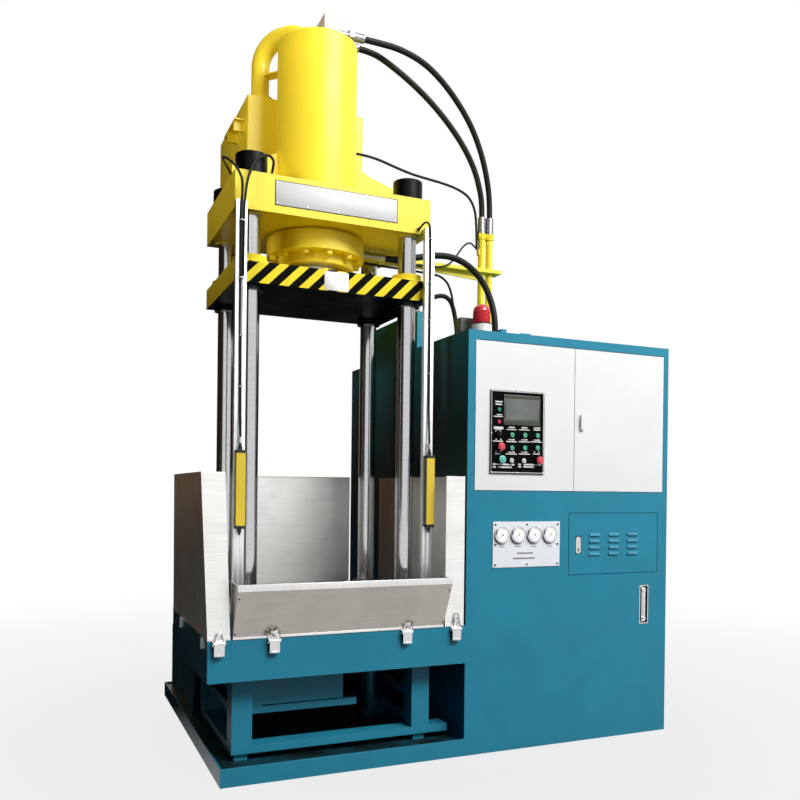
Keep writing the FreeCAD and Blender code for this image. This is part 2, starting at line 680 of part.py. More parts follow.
def splash_box():
    left, right = "box_left", "divide_x"
    back = "front_y + box_deep"
    top = "box_base + box_high"
    wall = "box_sheet"
    block = box("splash_block", left, right, "front_y", back, "box_base", top)
    room = box("splash_room", left + " + " + wall, right + " - " + wall,
               "front_y + " + wall, back + " - " + wall, "box_base + " + wall, top + " - " + wall)
    mouth = box("splash_mouth", left + " + box_rim", right + " - box_rim",
                "front_y + box_rim", back + " - box_rim", "box_base + box_high / 2", top + " + 1")
    gap = "well_gap"
    well = box("splash_well", "press_x - bed_wide / 2 - " + gap, "press_x + bed_wide / 2 + " + gap,
               "press_y - bed_deep / 2 - " + gap, "press_y + bed_deep / 2 + " + gap,
               "box_base - 1", "box_base + box_high / 2")
    pan = cut("splash_pan", block, room, mouth, well)
    ties = []
    for number, across in enumerate((-1, 1)):
        side = "press_x + %d * bed_wide / 2" % across
        near, far = (left, side) if across < 0 else (side, right)
        ties.append(box("pan_tie_%d" % number, near, far, "press_y - 30", "press_y + 30",
                        "box_base", "box_base + 12"))
        ties.append(box("pan_shoe_%d" % number, side + " - 12" if across < 0 else side,
                        side if across < 0 else side + " + 12", "press_y - 30",
                        "press_y + 30", "box_base", "bed_base + 30"))
    part("splash_box", fuse("splash_weldment", pan, *ties))


# ---------------------------------------------------------------------------
# columns, crown, cylinder and slide
# ---------------------------------------------------------------------------
def columns():
    low = "bed_base + bed_thick - column_sink"
    high = "crown_base + crown_thick + nut_high + column_proud"
    bars = [rod("column_%d" % n, "column_radius", high + " - (" + low + ")",
                "press_x + %d * column_x" % sx, "press_y + %d * column_y" % sy, low)
            for n, (sx, sy) in enumerate(CORNERS)]
    part("columns", group("column_set", bars))


def ring_nut(name, high, x, y, z):
    body = turned(name, [("column_radius", "0"), ("nut_radius", "0"),
                         ("nut_radius", high + " - 3"), ("nut_radius - 3", high),
                         ("column_radius", high)], x, y, z)
    return body


def column_nuts():
    nuts = []
    for number, (sx, sy) in enumerate(CORNERS):
        x = "press_x + %d * column_x" % sx
        y = "press_y + %d * column_y" % sy
        nuts.append(ring_nut("top_nut_%d" % number, "nut_high", x, y, "crown_base + crown_thick"))
        nuts.append(ring_nut("foot_nut_%d" % number, "foot_nut_high", x, y,
                             "bed_base + bed_thick"))
    part("column_nuts", group("nut_set", nuts))


def crown():
    half_wide, half_deep = "bed_wide / 2", "crown_deep / 2"
    body = padded("crown_body", "XY_Plane",
                  [("-" + half_wide, "-" + half_deep), (half_wide, "-" + half_deep),
                   (half_wide, half_deep), ("-" + half_wide, half_deep)],
                  "crown_thick", "press_x", "press_y", "crown_base")
    boss(body, "shoulders", "XY_Plane", None, "shoulder_high",
         lambda d: four_circles(d, "shoulder_radius"), flip=True)
    pocket(body, "crown_holes", "XY_Plane", "crown_thick", "0",
           lambda d: four_circles(d, "column_radius + seat_gap"), through=True)
    for side in (-1, 1):
        inner = "%d * (barrel_radius - rib_thick)" % side
        outer = "%d * rib_reach" % side
        knee = "%d * (barrel_radius + (rib_reach - barrel_radius) * 0.38)" % side
        points = [(inner, "crown_thick"), (outer, "crown_thick"), (outer, "crown_thick + rib_tail"),
                  (knee, "crown_thick + rib_high * 0.76"), (inner, "crown_thick + rib_high")]
        name = "rib_left" if side < 0 else "rib_right"
        boss(body, name, "XZ_Plane", "-rib_thick / 2", "rib_thick",
             lambda d: outline(d, points))
    pocket(body, "crown_bore", "XY_Plane", "crown_thick + rib_high + 1", "0",
           lambda d: circle(d, "0", "0", "barrel_radius + seat_gap"), through=True)
    part("crown", body)


def main_cylinder():
    top = "barrel_top - (crown_base - flange_high)"
    roof = top + " - barrel_head"
    step = "barrel_round * 0.3"
    body = turned("cylinder_body",
                  [("barrel_bore", "0"), ("flange_radius", "0"),
                   ("flange_radius", "flange_high - flange_round"),
                   ("flange_radius - flange_round * 0.3", "flange_high - flange_round * 0.3"),
                   ("flange_radius - flange_round", "flange_high"),
                   ("barrel_radius", "flange_high"),
                   ("barrel_radius", top + " - barrel_round"),
                   ("barrel_radius - " + step, top + " - " + step),
                   ("barrel_radius - barrel_round", top), ("0", top), ("0", roof),
                   ("barrel_bore", roof)],
                  "press_x", "press_y", "crown_base - flange_high")
    part("main_cylinder", body)


def gland_ring():
    bore = "ram_radius + fit_gap"
    spigot = "barrel_bore - fit_gap"
    body = turned("gland_body",
                  [(bore, "0"), ("gland_radius - 4", "0"), ("gland_radius", "4"),
                   ("gland_radius", "gland_high"), (spigot, "gland_high"),
                   (spigot, "gland_high + gland_spigot"), (bore, "gland_high + gland_spigot")],
                  "press_x", "press_y", "crown_base - flange_high - gland_high")
    part("gland_ring", body)


def ram():
    body = turned("ram_body",
                  [("0", "0"), ("rod_flange_radius", "0"),
                   ("rod_flange_radius", "rod_flange_high - 3"),
                   ("rod_flange_radius - 3", "rod_flange_high"),
                   ("ram_radius", "rod_flange_high"), ("ram_radius", "ram_long"),
                   ("barrel_bore - fit_gap", "ram_long"),
                   ("barrel_bore - fit_gap", "ram_long + piston_high"),
                   ("0", "ram_long + piston_high")],
                  "press_x", "press_y", "slide_base + slide_thick")
    part("ram", body)


def bolt_ring(name, circle_radius, z, up):
    """Hexagon heads with washers; up is False where they hang below a flange."""
    bolts = []
    count = int(size("bolt_count"))
    washer, head = "bolt_washer", "bolt_head"
    for number in range(count):
        angle = 360.0 / count * number
        x = "press_x + (%s) * cos(%g deg)" % (circle_radius, angle)
        y = "press_y + (%s) * sin(%g deg)" % (circle_radius, angle)
        low = z if up else "%s - %s" % (z, washer)
        disc = rod("%s_washer_%d" % (name, number), "bolt_radius + 1", washer, x, y, low)
        prism = doc.addObject("Part::Prism", "%s_head_%d" % (name, number))
        prism.Polygon = 6
        prism.setExpression("Circumradius", bound("bolt_radius"))
        prism.setExpression("Height", bound(head))
        place(prism, x, y, "%s + %s" % (z, washer) if up else "%s - %s - %s" % (z, washer, head))
        bolts.append(fuse("%s_%d" % (name, number), disc, prism))
    return bolts


def bolts():
    fixed = bolt_ring("flange_bolt", "(flange_radius + gland_radius) / 2",
                      "crown_base - flange_high", False)
    part("flange_bolts", group("flange_bolt_set", fixed))
    slide_top = "slide_base + slide_thick + rod_flange_high"
    moving = bolt_ring("slide_bolt", "(rod_flange_radius + ram_radius) / 2", slide_top, True)
    part("slide_bolts", group("slide_bolt_set", moving))


def slide_plate():
    half_wide, half_deep = "bed_wide / 2", "crown_deep / 2"
    body = padded("slide_body", "XY_Plane",
                  [("-" + half_wide, "-" + half_deep), (half_wide, "-" + half_deep),
                   (half_wide, half_deep), ("-" + half_wide, half_deep)],
                  "slide_thick", "press_x", "press_y", "slide_base")
    boss(body, "guide_bosses", "XY_Plane", "slide_thick", "boss_high",
         lambda d: four_circles(d, "boss_radius"))
    pocket(body, "bush_bores", "XY_Plane", "slide_thick + boss_high", "0",
           lambda d: four_circles(d, "bush_radius"), through=True)
    pocket(body, "bush_spots", "XY_Plane", "0", "bush_sink",
           lambda d: four_circles(d, "bush_flange + seat_gap"), flip=True)
    part("slide_plate", body)


def guide_bushes():
    long = "slide_thick + boss_high + bush_foot"
    bore = "column_radius + fit_gap"
    shoulder = "bush_foot + bush_sink"
    bushes = [turned("bush_%d" % n, [(bore, "0"), ("bush_flange", "0"),
                                     ("bush_flange", shoulder), ("bush_radius", shoulder),
                                     ("bush_radius", long), (bore, long)],
                     "press_x + %d * column_x" % sx, "press_y + %d * column_y" % sy,
                     "slide_base - bush_foot")
              for n, (sx, sy) in enumerate(CORNERS)]
    part("guide_bushes", group("bush_set", bushes))


# ---------------------------------------------------------------------------
# prefill tank, pipe and hose manifold
# ---------------------------------------------------------------------------
def prefill_tank():
    left = "press_x - tank_wide / 2"
    right = "press_x + tank_wide / 2"
    front = "press_y + tank_front"
    back = front + " + tank_deep"
    base, top = "crown_base + crown_thick", "tank_top"
    wall = "tank_sheet"
    block = box("tank_block", left, right, front, back, base, top)
    saddle = rod("tank_saddle", "barrel_radius + joint_gap", "tank_high + 2", "press_x",
                 "press_y", base + " - 1")
    room = box("tank_room", left + " + " + wall, right + " - " + wall, front + " + 60",
               back + " - " + wall, base + " + " + wall, top + " - " + wall)
    mouth = rod("tank_mouth", "pipe_radius", "40", "press_x - pipe_left", "press_y + pipe_back",
                top + " - 20")
    shell = cut("tank_shell", block, saddle, room, mouth)
    lug_top = top + " - lug_drop"
    lugs = [box("lug_bar", left + " - lug_out", left, front + " + 60", front + " + 330",
                lug_top + " - 8", lug_top)]
    for number, shift in enumerate(("80", "240")):
        lugs.append(box("lug_leg_%d" % number, left + " - lug_out", left,
                        front + " + " + shift, front + " + " + shift + " + 10",
                        lug_top + " - 60", lug_top + " - 8"))
    part("prefill_tank", fuse("tank_weldment", shell, *lugs))


def prefill_pipe():
    """Up from the tank, over in an inverted U, and down into the cylinder's head."""
    x, y = worked("press_x - pipe_left"), worked("press_y + pipe_back")
    low, turn_z = worked("tank_top - 20"), worked("tank_top + pipe_rise")
    first, second = size("elbow_radius"), size("return_radius")
    head = size("barrel_top")
    to_axis = Vector(size("press_x") - x, size("press_y") - y, 0)
    along = Vector(to_axis).normalize()
    up = Vector(0, 0, 1)
    start = Vector(x, y, low)
    bend = Vector(x, y, turn_z)
    level = bend + along * first + up * first
    over = level + along * size("pipe_level")
    drop = over + along * second - up * second
    end = Vector(drop.x, drop.y, head)
    edges = [Part.LineSegment(start, bend).toShape(),
             quarter(bend, level, along, up, first, True),
             Part.LineSegment(level, over).toShape(),
             quarter(over, drop, along, up, second, False),
             Part.LineSegment(drop, end).toShape()]
    tube = sweep(Part.Wire(edges), size("pipe_radius"), start, up)
    collars = [Part.makeCylinder(size("pipe_flange"), size("pipe_flange_high"),
                                 Vector(x, y, size("tank_top"))),
               Part.makeCylinder(size("pipe_collar"), size("pipe_flange_high"), end)]
    reach = to_axis.Length - size("barrel_radius") - size("seat_gap")
    wide = size("brace_wide")
    brace = Part.makeBox(reach, wide, size("brace_thick"), Vector(0, -wide / 2, 0))
    brace.Placement = Placement(Vector(x, y, worked("tank_top + brace_rise")),
                                Rotation(Vector(1, 0, 0), along))
    item = doc.addObject("Part::Feature", "pipe_weldment")
    item.Shape = tube.multiFuse(collars + [brace]).removeSplitter()
    part("prefill_pipe", item)


def quarter(start, end, along, up, radius, rising):
    """A quarter turn between two points, in the plane of along and up."""
    if rising:
        middle = start + along * radius * (1 - math.cos(math.pi / 4)) + up * radius * math.sin(
            math.pi / 4)
    else:
        middle = start + along * radius * math.sin(math.pi / 4) - up * radius * (
            1 - math.cos(math.pi / 4))
    return Part.Arc(start, middle, end).toShape()


def sweep(path, radius, start, direction):
    ring = Part.Wire([Part.Circle(start, direction, radius).toShape()])
    tube = path.makePipeShell([ring], True, False)
    return Part.Solid(tube) if tube.ShapeType == "Shell" else tube


def hose_manifold():
    x = "press_x + block_x"
    block = box("manifold_block", x + " - block_wide / 2", x + " + block_wide / 2",
                "press_y - block_deep / 2", "press_y + block_deep / 2",
                "barrel_top", "barrel_top + block_high")
    part("hose_manifold", block)


# ---------------------------------------------------------------------------
# stainless splash guard, trough and latches
# ---------------------------------------------------------------------------
def guard_left():
    """A folded sheet that leans out at its front, with the rear sheet welded on."""
    body = new_body("guard_left_body")
    wall = "guard_sheet"
    sections = []
    for number, (lift, lean, grow) in enumerate((("0", "0", "0"),
                                                 ("guard_high", "guard_splay", "6"))):
        drawing = sketch_on(body, "XY_Plane", "guard_section_%d" % number, lift)
        edge = "-(%s)" % lean
        rear = "-(%s) * 0.1" % lean
        outline(drawing, [(edge, "0"), (edge + " + guard_return + " + grow, "0"),
                          (edge + " + guard_return + " + grow, wall), (edge + " + " + wall, wall),
                          (rear + " + " + wall, "box_deep - 1"), (rear, "box_deep - 1")])
        sections.append(drawing)
    loft = body.newObject("PartDesign::AdditiveLoft", "guard_loft")
    loft.Profile = sections[0]
    loft.Sections = sections[1:]
    loft.Ruled = True
    place(body, "box_left", "front_y", "box_base + box_high")
    rear = box("guard_rear_sheet", "box_left", "box_left + guard_rear_wide",
               "front_y + box_deep - 1 - guard_sheet", "front_y + box_deep - 1",
               "box_base + box_high", "box_base + box_high + guard_high")
    hem = box("guard_rear_hem", "box_left", "box_left + guard_rear_wide",
              "front_y + box_deep - 1 - 12", "front_y + box_deep - 1",
              "box_base + box_high + guard_high - " + wall, "box_base + box_high + guard_high")
    part("guard_left", fuse("guard_left_weldment", body, rear, hem))


def guard_right():
    outer = "divide_x - guard_gap"
    base = "box_base + box_high"
    wall = "guard_sheet"
    part("guard_right", padded(
        "guard_right_body", "XY_Plane",
        [("0", "0"), ("0", "guard_right_deep"), ("-" + wall, "guard_right_deep"),
         ("-" + wall, wall), ("-guard_return - 3", wall), ("-guard_return - 3", "0")],
        "guard_high", outer, "front_y", base))


def front_trough():
    """Sloped stainless panel with a front lip and two end plates."""
    base = "box_base + box_high + trough_lift"
    wall = "guard_sheet"
    panel = padded("trough_panel", "YZ_Plane",
                   [("0", "0"), ("-trough_lean", "trough_fold"),
                    ("-trough_lean", "trough_fold + trough_lip"),
                    ("-trough_lean + " + wall, "trough_fold + trough_lip"),
                    ("-trough_lean + " + wall, "trough_fold + 1"), (wall + " + 0.5", "0")],
                   "trough_wide", "trough_left", "front_y", base)
    ends = []
    for number, x in enumerate(("trough_left", "trough_left + trough_wide - guard_sheet")):
        ends.append(padded("trough_end_%d" % number, "YZ_Plane",
                           [("0", "0"), ("-trough_lean", "trough_fold"),
                            ("-trough_lean", "trough_fold + trough_lip"),
                            ("30", "trough_fold + trough_lip"), ("30", "0")],
                           wall, x, "front_y", base))
    sill = box("trough_sill", "trough_left", "trough_left + trough_wide", "front_y",
               "front_y + 30", base + " - trough_lift", base)
    part("front_trough", fuse("trough_weldment", panel, *(ends + [sill])))


LATCH_X = {"1": "box_left + 48", "2": "box_left + 293", "3": "press_x + 318",
           "4": "divide_x - 56"}


def latches():
    """Brackets with a pin on the apron, strikes above them, and four levers."""
    pin_z = "box_base + box_high - latch_down"
    pin_y = "front_y - latch_out"
    fixed = []
    for number in sorted(LATCH_X):
        x = LATCH_X[number]
        half = "latch_wide / 2"
        plate = box("latch_plate_" + number, x + " - " + half, x + " + " + half, "front_y - 3",
                    "front_y", pin_z + " - 14", "box_base + box_high")
        ears = []
        for side, near in (("l", x + " - " + half), ("r", x + " + " + half + " - latch_ear")):
            ears.append(box("latch_ear_%s_%s" % (side, number), near, near + " + latch_ear",
                            pin_y + " - 7", "front_y - 3", pin_z + " - 7", pin_z + " + 7"))
        pin = rod("latch_pin_" + number, "latch_pin", "latch_wide", x + " - " + half, pin_y,
                  pin_z, ALONG_X)
        fixed.append(fuse("latch_bracket_" + number, plate, pin, *ears))
        inner = "(latch_wide / 2 - latch_ear - seat_gap)"
        lever = cut("latch_arm_" + number,
                    fuse("latch_solid_" + number,
                         box("latch_blade_" + number, x + " - " + inner, x + " + " + inner,
                             pin_y + " - latch_thick", pin_y, pin_z + " - latch_drop", pin_z),
                         rod("latch_knuckle_" + number, "latch_thick + 1",
                             "latch_wide - 2 * latch_ear - 2 * seat_gap",
                             x + " - " + inner, pin_y, pin_z, ALONG_X),
                         box("latch_tip_" + number, x + " - 12", x + " + 12",
                             pin_y + " - latch_thick - 5", pin_y + " - latch_thick + 1",
                             pin_z + " - latch_drop", pin_z + " - latch_drop + 8")),
                    rod("latch_eye_" + number, "latch_pin + fit_gap", "latch_wide",
                        x + " - " + half, pin_y, pin_z, ALONG_X))
        part("latch_lever_" + number, lever)
    for number in range(2):
        y0 = "front_y + clip_first + %d * clip_pitch" % number
        fixed.append(box("side_clip_%d" % number, "box_left - clip_out", "box_left", y0,
                         y0 + " + clip_wide", "box_base + box_high - clip_high",
                         "box_base + box_high"))
    part("latch_brackets", group("latch_bracket_set", fixed))


# ---------------------------------------------------------------------------
# light curtains
# ---------------------------------------------------------------------------
def light_curtains():
    front = "press_y - bed_deep / 2"
    posts, bars = [], []
    for number, side in enumerate((-1, 1)):
        x = "press_x + %d * post_x" % side
        half = "post_wide / 2"
        base = "bed_base + bed_thick"
        block = box("post_block_%d" % number, x + " - " + half, x + " + " + half, front,
                    front + " + post_deep", base, "post_top")
        room = box("post_room_%d" % number, x + " - " + half + " + post_sheet",
                   x + " + " + half + " - post_sheet", front + " - 1",
                   front + " + post_deep - post_sheet", base + " + 10", "post_top + 1")
        clip = box("post_clip_%d" % number, x + " - " + half + " + 3", x + " + " + half + " - 3",
                   front + " + post_deep", "press_y - crown_deep / 2", "crown_base + 3",
                   "post_top")
        posts.append(fuse("post_%d" % number, cut("post_cut_%d" % number, block, room), clip))
        half_bar = "curtain_wide / 2"
        bar = box("curtain_bar_%d" % number, x + " - " + half_bar, x + " + " + half_bar,
                  front + " - curtain_deep", front, "curtain_base",
                  "curtain_base + curtain_high")
        face = x + " - %d * (%s - lens_deep)" % (side, half_bar)
        far = x + " - %d * (%s + 1)" % (side, half_bar)
        near, past = (face, far) if side < 0 else (far, face)
        lens_y = front + " - curtain_deep / 2"
        lens = box("curtain_lens_%d" % number, near, past, lens_y + " - lens_wide / 2",
                   lens_y + " + lens_wide / 2", "curtain_base + curtain_cap",
                   "curtain_base + curtain_high - curtain_cap")
        bars.append(cut("curtain_cut_%d" % number, bar, lens))
    part("curtain_posts", group("post_set", posts))
    part("light_curtains", group("curtain_set", bars))


# ---------------------------------------------------------------------------
# cabinet
# ---------------------------------------------------------------------------
def cabinet_box(name, left, wide, base, high, y0="front_y - 1",
                y1="front_y + cabinet_sheet + 1", grow="0"):
    """A block through the cabinet's front, placed from its left side."""
    return box(name, "divide_x + %s - %s" % (left, grow), "divide_x + %s + %s + %s" % (left, wide, grow),
               y0, y1, "%s - %s" % (base, grow), "%s + %s + %s" % (base, high, grow))


def cabinet_housing():
    left, right = "divide_x", "divide_x + cabinet_wide"
    back = "front_y + cabinet_deep"
    wall = "cabinet_sheet"
    shell = box("cabinet_block", left, right, "front_y", back, "0", "cabinet_high")
    duct = box("duct_block", left, left + " + duct_wide", "front_y + duct_front",
               "front_y + duct_front + duct_deep", "cabinet_high", "cabinet_high + duct_high")
    lugs = [box("roof_lug_0", left + " + 211", left + " + 241", "front_y + 45",
                "front_y + 85", "cabinet_high", "cabinet_high + 26"),
            box("roof_lug_1", left + " + 329", left + " + 384", "front_y + 45",
                "front_y + 85", "cabinet_high", "cabinet_high + 15")]
    solid = fuse("cabinet_solid", shell, duct, *lugs)

    def room(name, z0, z1):
        return box(name, left + " + " + wall, right + " - " + wall, "front_y + " + wall,
                   back + " - " + wall, z0, z1)

    rooms = [room("tank_cavity", "60", "tank_lid - " + wall),
             room("pump_room", "tank_lid", "room_split - " + wall),
             room("switch_room", "room_split", "cabinet_high - " + wall),
             box("duct_room", left + " + " + wall, left + " + duct_wide - " + wall,
                 "front_y + duct_front + " + wall,
                 "front_y + duct_front + duct_deep - " + wall,
                 "cabinet_high - 20", "cabinet_high + duct_high - " + wall)]
    holes = [cabinet_box("door_hole", "door_left_edge", "2 * door_wide + joint_gap",
                         "door_base", "door_high", grow="joint_gap"),
             cabinet_box("vent_hole", "louvre_left_edge", "louvre_wide", "louvre_base",
                         "louvre_high", grow="joint_gap"),
             cabinet_box("sight_hole", "sight_left", "sight_wide", "sight_base", "sight_high")]
    for number in range(int(size("dial_count"))):
        holes.append(rod("dial_hole_%d" % number, "dial_can + 1", "cabinet_sheet + 2",
                         "divide_x + dial_first + %d * dial_pitch" % number,
                         "front_y + cabinet_sheet + 1", "dial_z", OUTWARD))
    lugs, bores = [], []
    for name, left, wide, base, high, side in DOORS:
        for end, z in (("foot", "%s - joint_gap - hinge_lug" % base),
                       ("head", "%s + %s + joint_gap" % (base, high))):
            x, y = hinge_x(left, wide, side), "front_y + hinge_in"
            lugs.append(box("%s_lug_%s" % (name, end), x + " - 12", x + " + 12",
                            "front_y + cabinet_sheet", "front_y + hinge_in + 10", z,
                            z + " + hinge_lug"))
            bores.append(rod("%s_bore_%s" % (name, end), "hinge_pin + fit_gap",
                             "hinge_lug + 2", x, y, z + " - 1"))
    shell = fuse("cabinet_lugged", cut("cabinet_shell", solid, *(rooms + holes)), *lugs)
    part("cabinet_housing", cut("cabinet_bored", shell, group("hinge_bores", bores)))


SECOND_DOOR = "door_left_edge + door_wide + joint_gap"
DOORS = [
    ("left_door", "door_left_edge", "door_wide", "door_base", "door_high", "left"),
    ("right_door", SECOND_DOOR, "door_wide", "door_base", "door_high", "right"),
    ("vent_door", "louvre_left_edge", "louvre_wide", "louvre_base", "louvre_high", "right"),
]


def hinge_x(left, wide, side):
    """Across position of a door's hinge axis, near its left or right edge."""
    if side == "left":
        return "divide_x + %s + hinge_in" % left
    return "divide_x + %s + %s - hinge_in" % (left, wide)


def door_pan(name, left, wide, base, high, side):
    """A folded door: a plate, a return behind its edge, and a pin at each end of its hinge."""
    plate = cabinet_box(name + "_plate", left, wide, base, high, "front_y",
                        "front_y + door_sheet")
    fold = cabinet_box(name + "_fold", left, wide, base, high, "front_y + door_sheet",
                       "front_y + door_thick", grow="-14")
    room = cabinet_box(name + "_room", left, wide, base, high, "front_y + door_sheet",
                       "front_y + door_thick + 1", grow="-14 - door_sheet")
    pieces = [plate, cut(name + "_return", fold, room)]
    x, y = hinge_x(left, wide, side), "front_y + hinge_in"
    edge = "divide_x + %s" % left if side == "left" else "divide_x + %s + %s - 17" % (left, wide)
    for end, block_z, pin_z in (("foot", base, base + " - joint_gap - hinge_lug + 2"),
                                ("head", "%s + %s - hinge_high" % (base, high),
                                 "%s + %s - 5" % (base, high))):
        pieces.append(box("%s_block_%s" % (name, end), edge, edge + " + 17",
                          "front_y + door_sheet", "front_y + 2 * hinge_in", block_z,
                          block_z + " + hinge_high"))
        pieces.append(rod("%s_pin_%s" % (name, end), "hinge_pin", "joint_gap + hinge_lug + 3",
                          x, y, pin_z))
    return fuse(name + "_pan", *pieces)


def doors():
    left = door_pan(*DOORS[0])
    hole = cabinet_box("panel_hole", "panel_left", "panel_wide", "panel_base", "panel_high",
                       "front_y - 1", "front_y + door_sheet + 1", grow="-12")
    part("door_left", cut("left_door_cut", left, hole))
    right = door_pan(*DOORS[1])
    spindle = rod("latch_hole", "8 + key_gap", "door_sheet + 2",
                  "divide_x + " + SECOND_DOOR + " + handle_left", "front_y + door_sheet + 1",
                  "handle_z", OUTWARD)
    part("door_right", cut("right_door_cut", right, spindle))


def door_latch():
    """A small turning handle with its spindle, and a cam behind the door's fold."""
    x = "divide_x + " + SECOND_DOOR + " + handle_left"
    grip = box("latch_grip", x + " - handle_wide / 2", x + " + handle_wide / 2",
               "front_y - handle_proud", "front_y - handle_proud + 9",
               "handle_z - handle_high / 2", "handle_z + handle_high / 2")
    collar = rod("latch_collar", "15", "5 - seat_gap", x, "front_y - seat_gap", "handle_z", OUTWARD)
    back = "front_y + door_thick + 1"
    spindle = rod("latch_spindle", "8", "door_thick + 6 + handle_proud", x, back + " + 5",
                  "handle_z", OUTWARD)
    cam = box("latch_cam", x + " - 10", x + " + 10", back, back + " + 5",
              "handle_z - 62", "handle_z + 10")
    part("door_latch", fuse("latch_weldment", grip, collar, spindle, cam))


def louvre_door():
    """The vented door: pressed hoods over slots, in rows and columns."""
    pan = door_pan(*DOORS[2])
    slots, hoods = [], []
    for column in range(int(size("slot_columns"))):
        for row in range(int(size("slot_rows"))):
            x = "divide_x + louvre_left_edge + louvre_first_x + %d * louvre_pitch_x" % column
            z = "louvre_base + louvre_first_z + %d * louvre_pitch_z" % row
            tag = "%d_%d" % (column, row)
            slots.append(box("vent_slot_" + tag, x + " - louvre_slot_wide / 2",
                             x + " + louvre_slot_wide / 2", "front_y - 1",
                             "front_y + door_sheet + 1", z, z + " + louvre_slot_high"))
            hood = padded("vent_hood_" + tag, "YZ_Plane",
                          [("-louvre_proud", "0"), ("0", "louvre_slot_high + 6"),
                           ("0", "louvre_slot_high + 3.5"), ("-louvre_proud + 1", "-2")],
                          "louvre_slot_wide", x + " - louvre_slot_wide / 2", "front_y", z)
            hoods.append(hood)
    lock = cabinet_box("lock_hole", "louvre_left_edge + lock_left", "lock_wide",
                       "louvre_base + lock_rise", "lock_high", "front_y - 1",
                       "front_y + door_sheet + 1")
    pocket_box = cabinet_box("lock_pocket", "louvre_left_edge + lock_left", "lock_wide",
                             "louvre_base + lock_rise", "lock_high", "front_y + door_sheet",
                             "front_y + door_sheet + lock_deep", grow="2")
    pocket_room = cabinet_box("lock_pocket_room", "louvre_left_edge + lock_left", "lock_wide",
                              "louvre_base + lock_rise", "lock_high", "front_y + door_sheet - 1",
                              "front_y + door_sheet + lock_deep - 2")
    slot_set = group("vent_slots", slots)
    open_pan = cut("vent_open", pan, slot_set, lock)
    cup = cut("lock_cup", pocket_box, pocket_room)
    pin = rod("lock_pivot", "lock_pin", "lock_wide + 2",
              "divide_x + louvre_left_edge + lock_left - 1", "front_y + door_sheet",
              "louvre_base + lock_rise + lock_high - 8.5", ALONG_X)
    part("louvre_door", fuse("vent_weldment", open_pan, cup, pin, *hoods))


def louvre_lock():
    """The vented door's swing-out lever, on the pin across its pocket."""
    x = "divide_x + louvre_left_edge + lock_left"
    low, top = "louvre_base + lock_rise", "louvre_base + lock_rise + lock_high"
    blade = box("lock_blade", x + " + joint_gap / 2", x + " + lock_wide - joint_gap / 2",
                "front_y - 2", "front_y - 2 + lock_lever", low + " + joint_gap / 2",
                top + " - 3.5")
    eye = rod("lock_eye", "lock_pin + fit_gap", "lock_wide + 2", x + " - 1",
              "front_y + door_sheet", top + " - 8.5", ALONG_X)
    part("louvre_lock", cut("lock_bored", blade, eye))


# ---------------------------------------------------------------------------
# gauges and control panel
# ---------------------------------------------------------------------------
def gauge_plate():
    plate = cabinet_box("dial_plate", "dial_plate_left", "dial_plate_wide", "dial_plate_base",
                        "dial_plate_high", "front_y - dial_plate_thick", "front_y")
    holes = [rod("dial_plate_hole_%d" % n, "dial_can + 0.5", "dial_plate_thick + 2",
                 "divide_x + dial_first + %d * dial_pitch" % n, "front_y + 1", "dial_z", OUTWARD)
             for n in range(int(size("dial_count")))]
    screws = []
    for column in range(3):
        for row in range(3):
            if (column, row) != (1, 1):
                x = "divide_x + dial_plate_left + 14 + %d * (dial_plate_wide - 28) / 2" % column
                z = "dial_plate_base + 14 + %d * (dial_plate_high - 28) / 2" % row
                screws.append(rod("plate_screw_%d_%d" % (column, row), "5", "3", x,
                                  "front_y - dial_plate_thick", z, OUTWARD))
    part("gauge_plate", fuse("dial_plate_weldment", cut("dial_plate_cut", plate, *holes),
                             *screws))


def pressure_gauges():
    dials = []
    for number in range(int(size("dial_count"))):
        dials.append(turned("dial_%d" % number,
                            [("0", "-dial_deep"), ("dial_can", "-dial_deep"), ("dial_can", "0"),
                             ("dial_radius", "0"), ("dial_radius", "dial_proud - 5"),
                             ("dial_radius - 4", "dial_proud"),
                             ("dial_radius - 8", "dial_proud"),
                             ("dial_radius - 9", "dial_proud - 3"), ("0", "dial_proud - 3")],
                            "divide_x + dial_first + %d * dial_pitch" % number,
                            "front_y - dial_plate_thick", "dial_z", OUTWARD))
    part("pressure_gauges", group("dial_set", dials))


def level_gauge():
    """Sight glass in a recessed black frame, with a bolt at each end."""
    x = "divide_x + sight_left + sight_wide / 2"
    tray = cut("sight_tray",
               cabinet_box("sight_block", "sight_left", "sight_wide", "sight_base", "sight_high",
                           "front_y - 1", "front_y + 24"),
               cabinet_box("sight_room", "sight_left", "sight_wide", "sight_base", "sight_high",
                           "front_y - 2", "front_y + 18", grow="-5"))
    body = box("sight_body", x + " - sight_tube", x + " + sight_tube", "front_y + 2",
               "front_y + 20", "sight_base + 12", "sight_base + sight_high - 12")
    ends = [rod("sight_bolt_%d" % n, "sight_tube - 3", "8", x, "front_y + 2",
                "sight_base + 28 + %d * (sight_high - 56)" % n, OUTWARD) for n in range(2)]
    part("level_gauge", fuse("sight_weldment", tray, body, *ends))


# name: (head, across and up from the panel's lower left corner)
KEYS = {
    "selector_knob": ("selector", 45, 198),
    "stop_button_left": ("mushroom", 54, 132),
    "start_button": ("push", 60, 69),
    "push_button_1": ("push", 121, 193),
    "push_button_2": ("push", 196, 194),
    "push_button_3": ("push", 271, 195),
    "push_button_4": ("push", 121, 128),
    "push_button_5": ("push", 196, 130),
    "push_button_6": ("push", 271, 132),
    "push_button_7": ("push", 119, 65),
    "push_button_8": ("push", 191, 65),
    "stop_button_right": ("mushroom", 281, 69),
}
LAMPS = {"0": (46, 317), "1": (46, 256)}


def panel_spot(across, up):
    """Where a control sits on the panel, as expressions across and up."""
    return "divide_x + panel_left + %s" % across, "panel_base + %s" % up


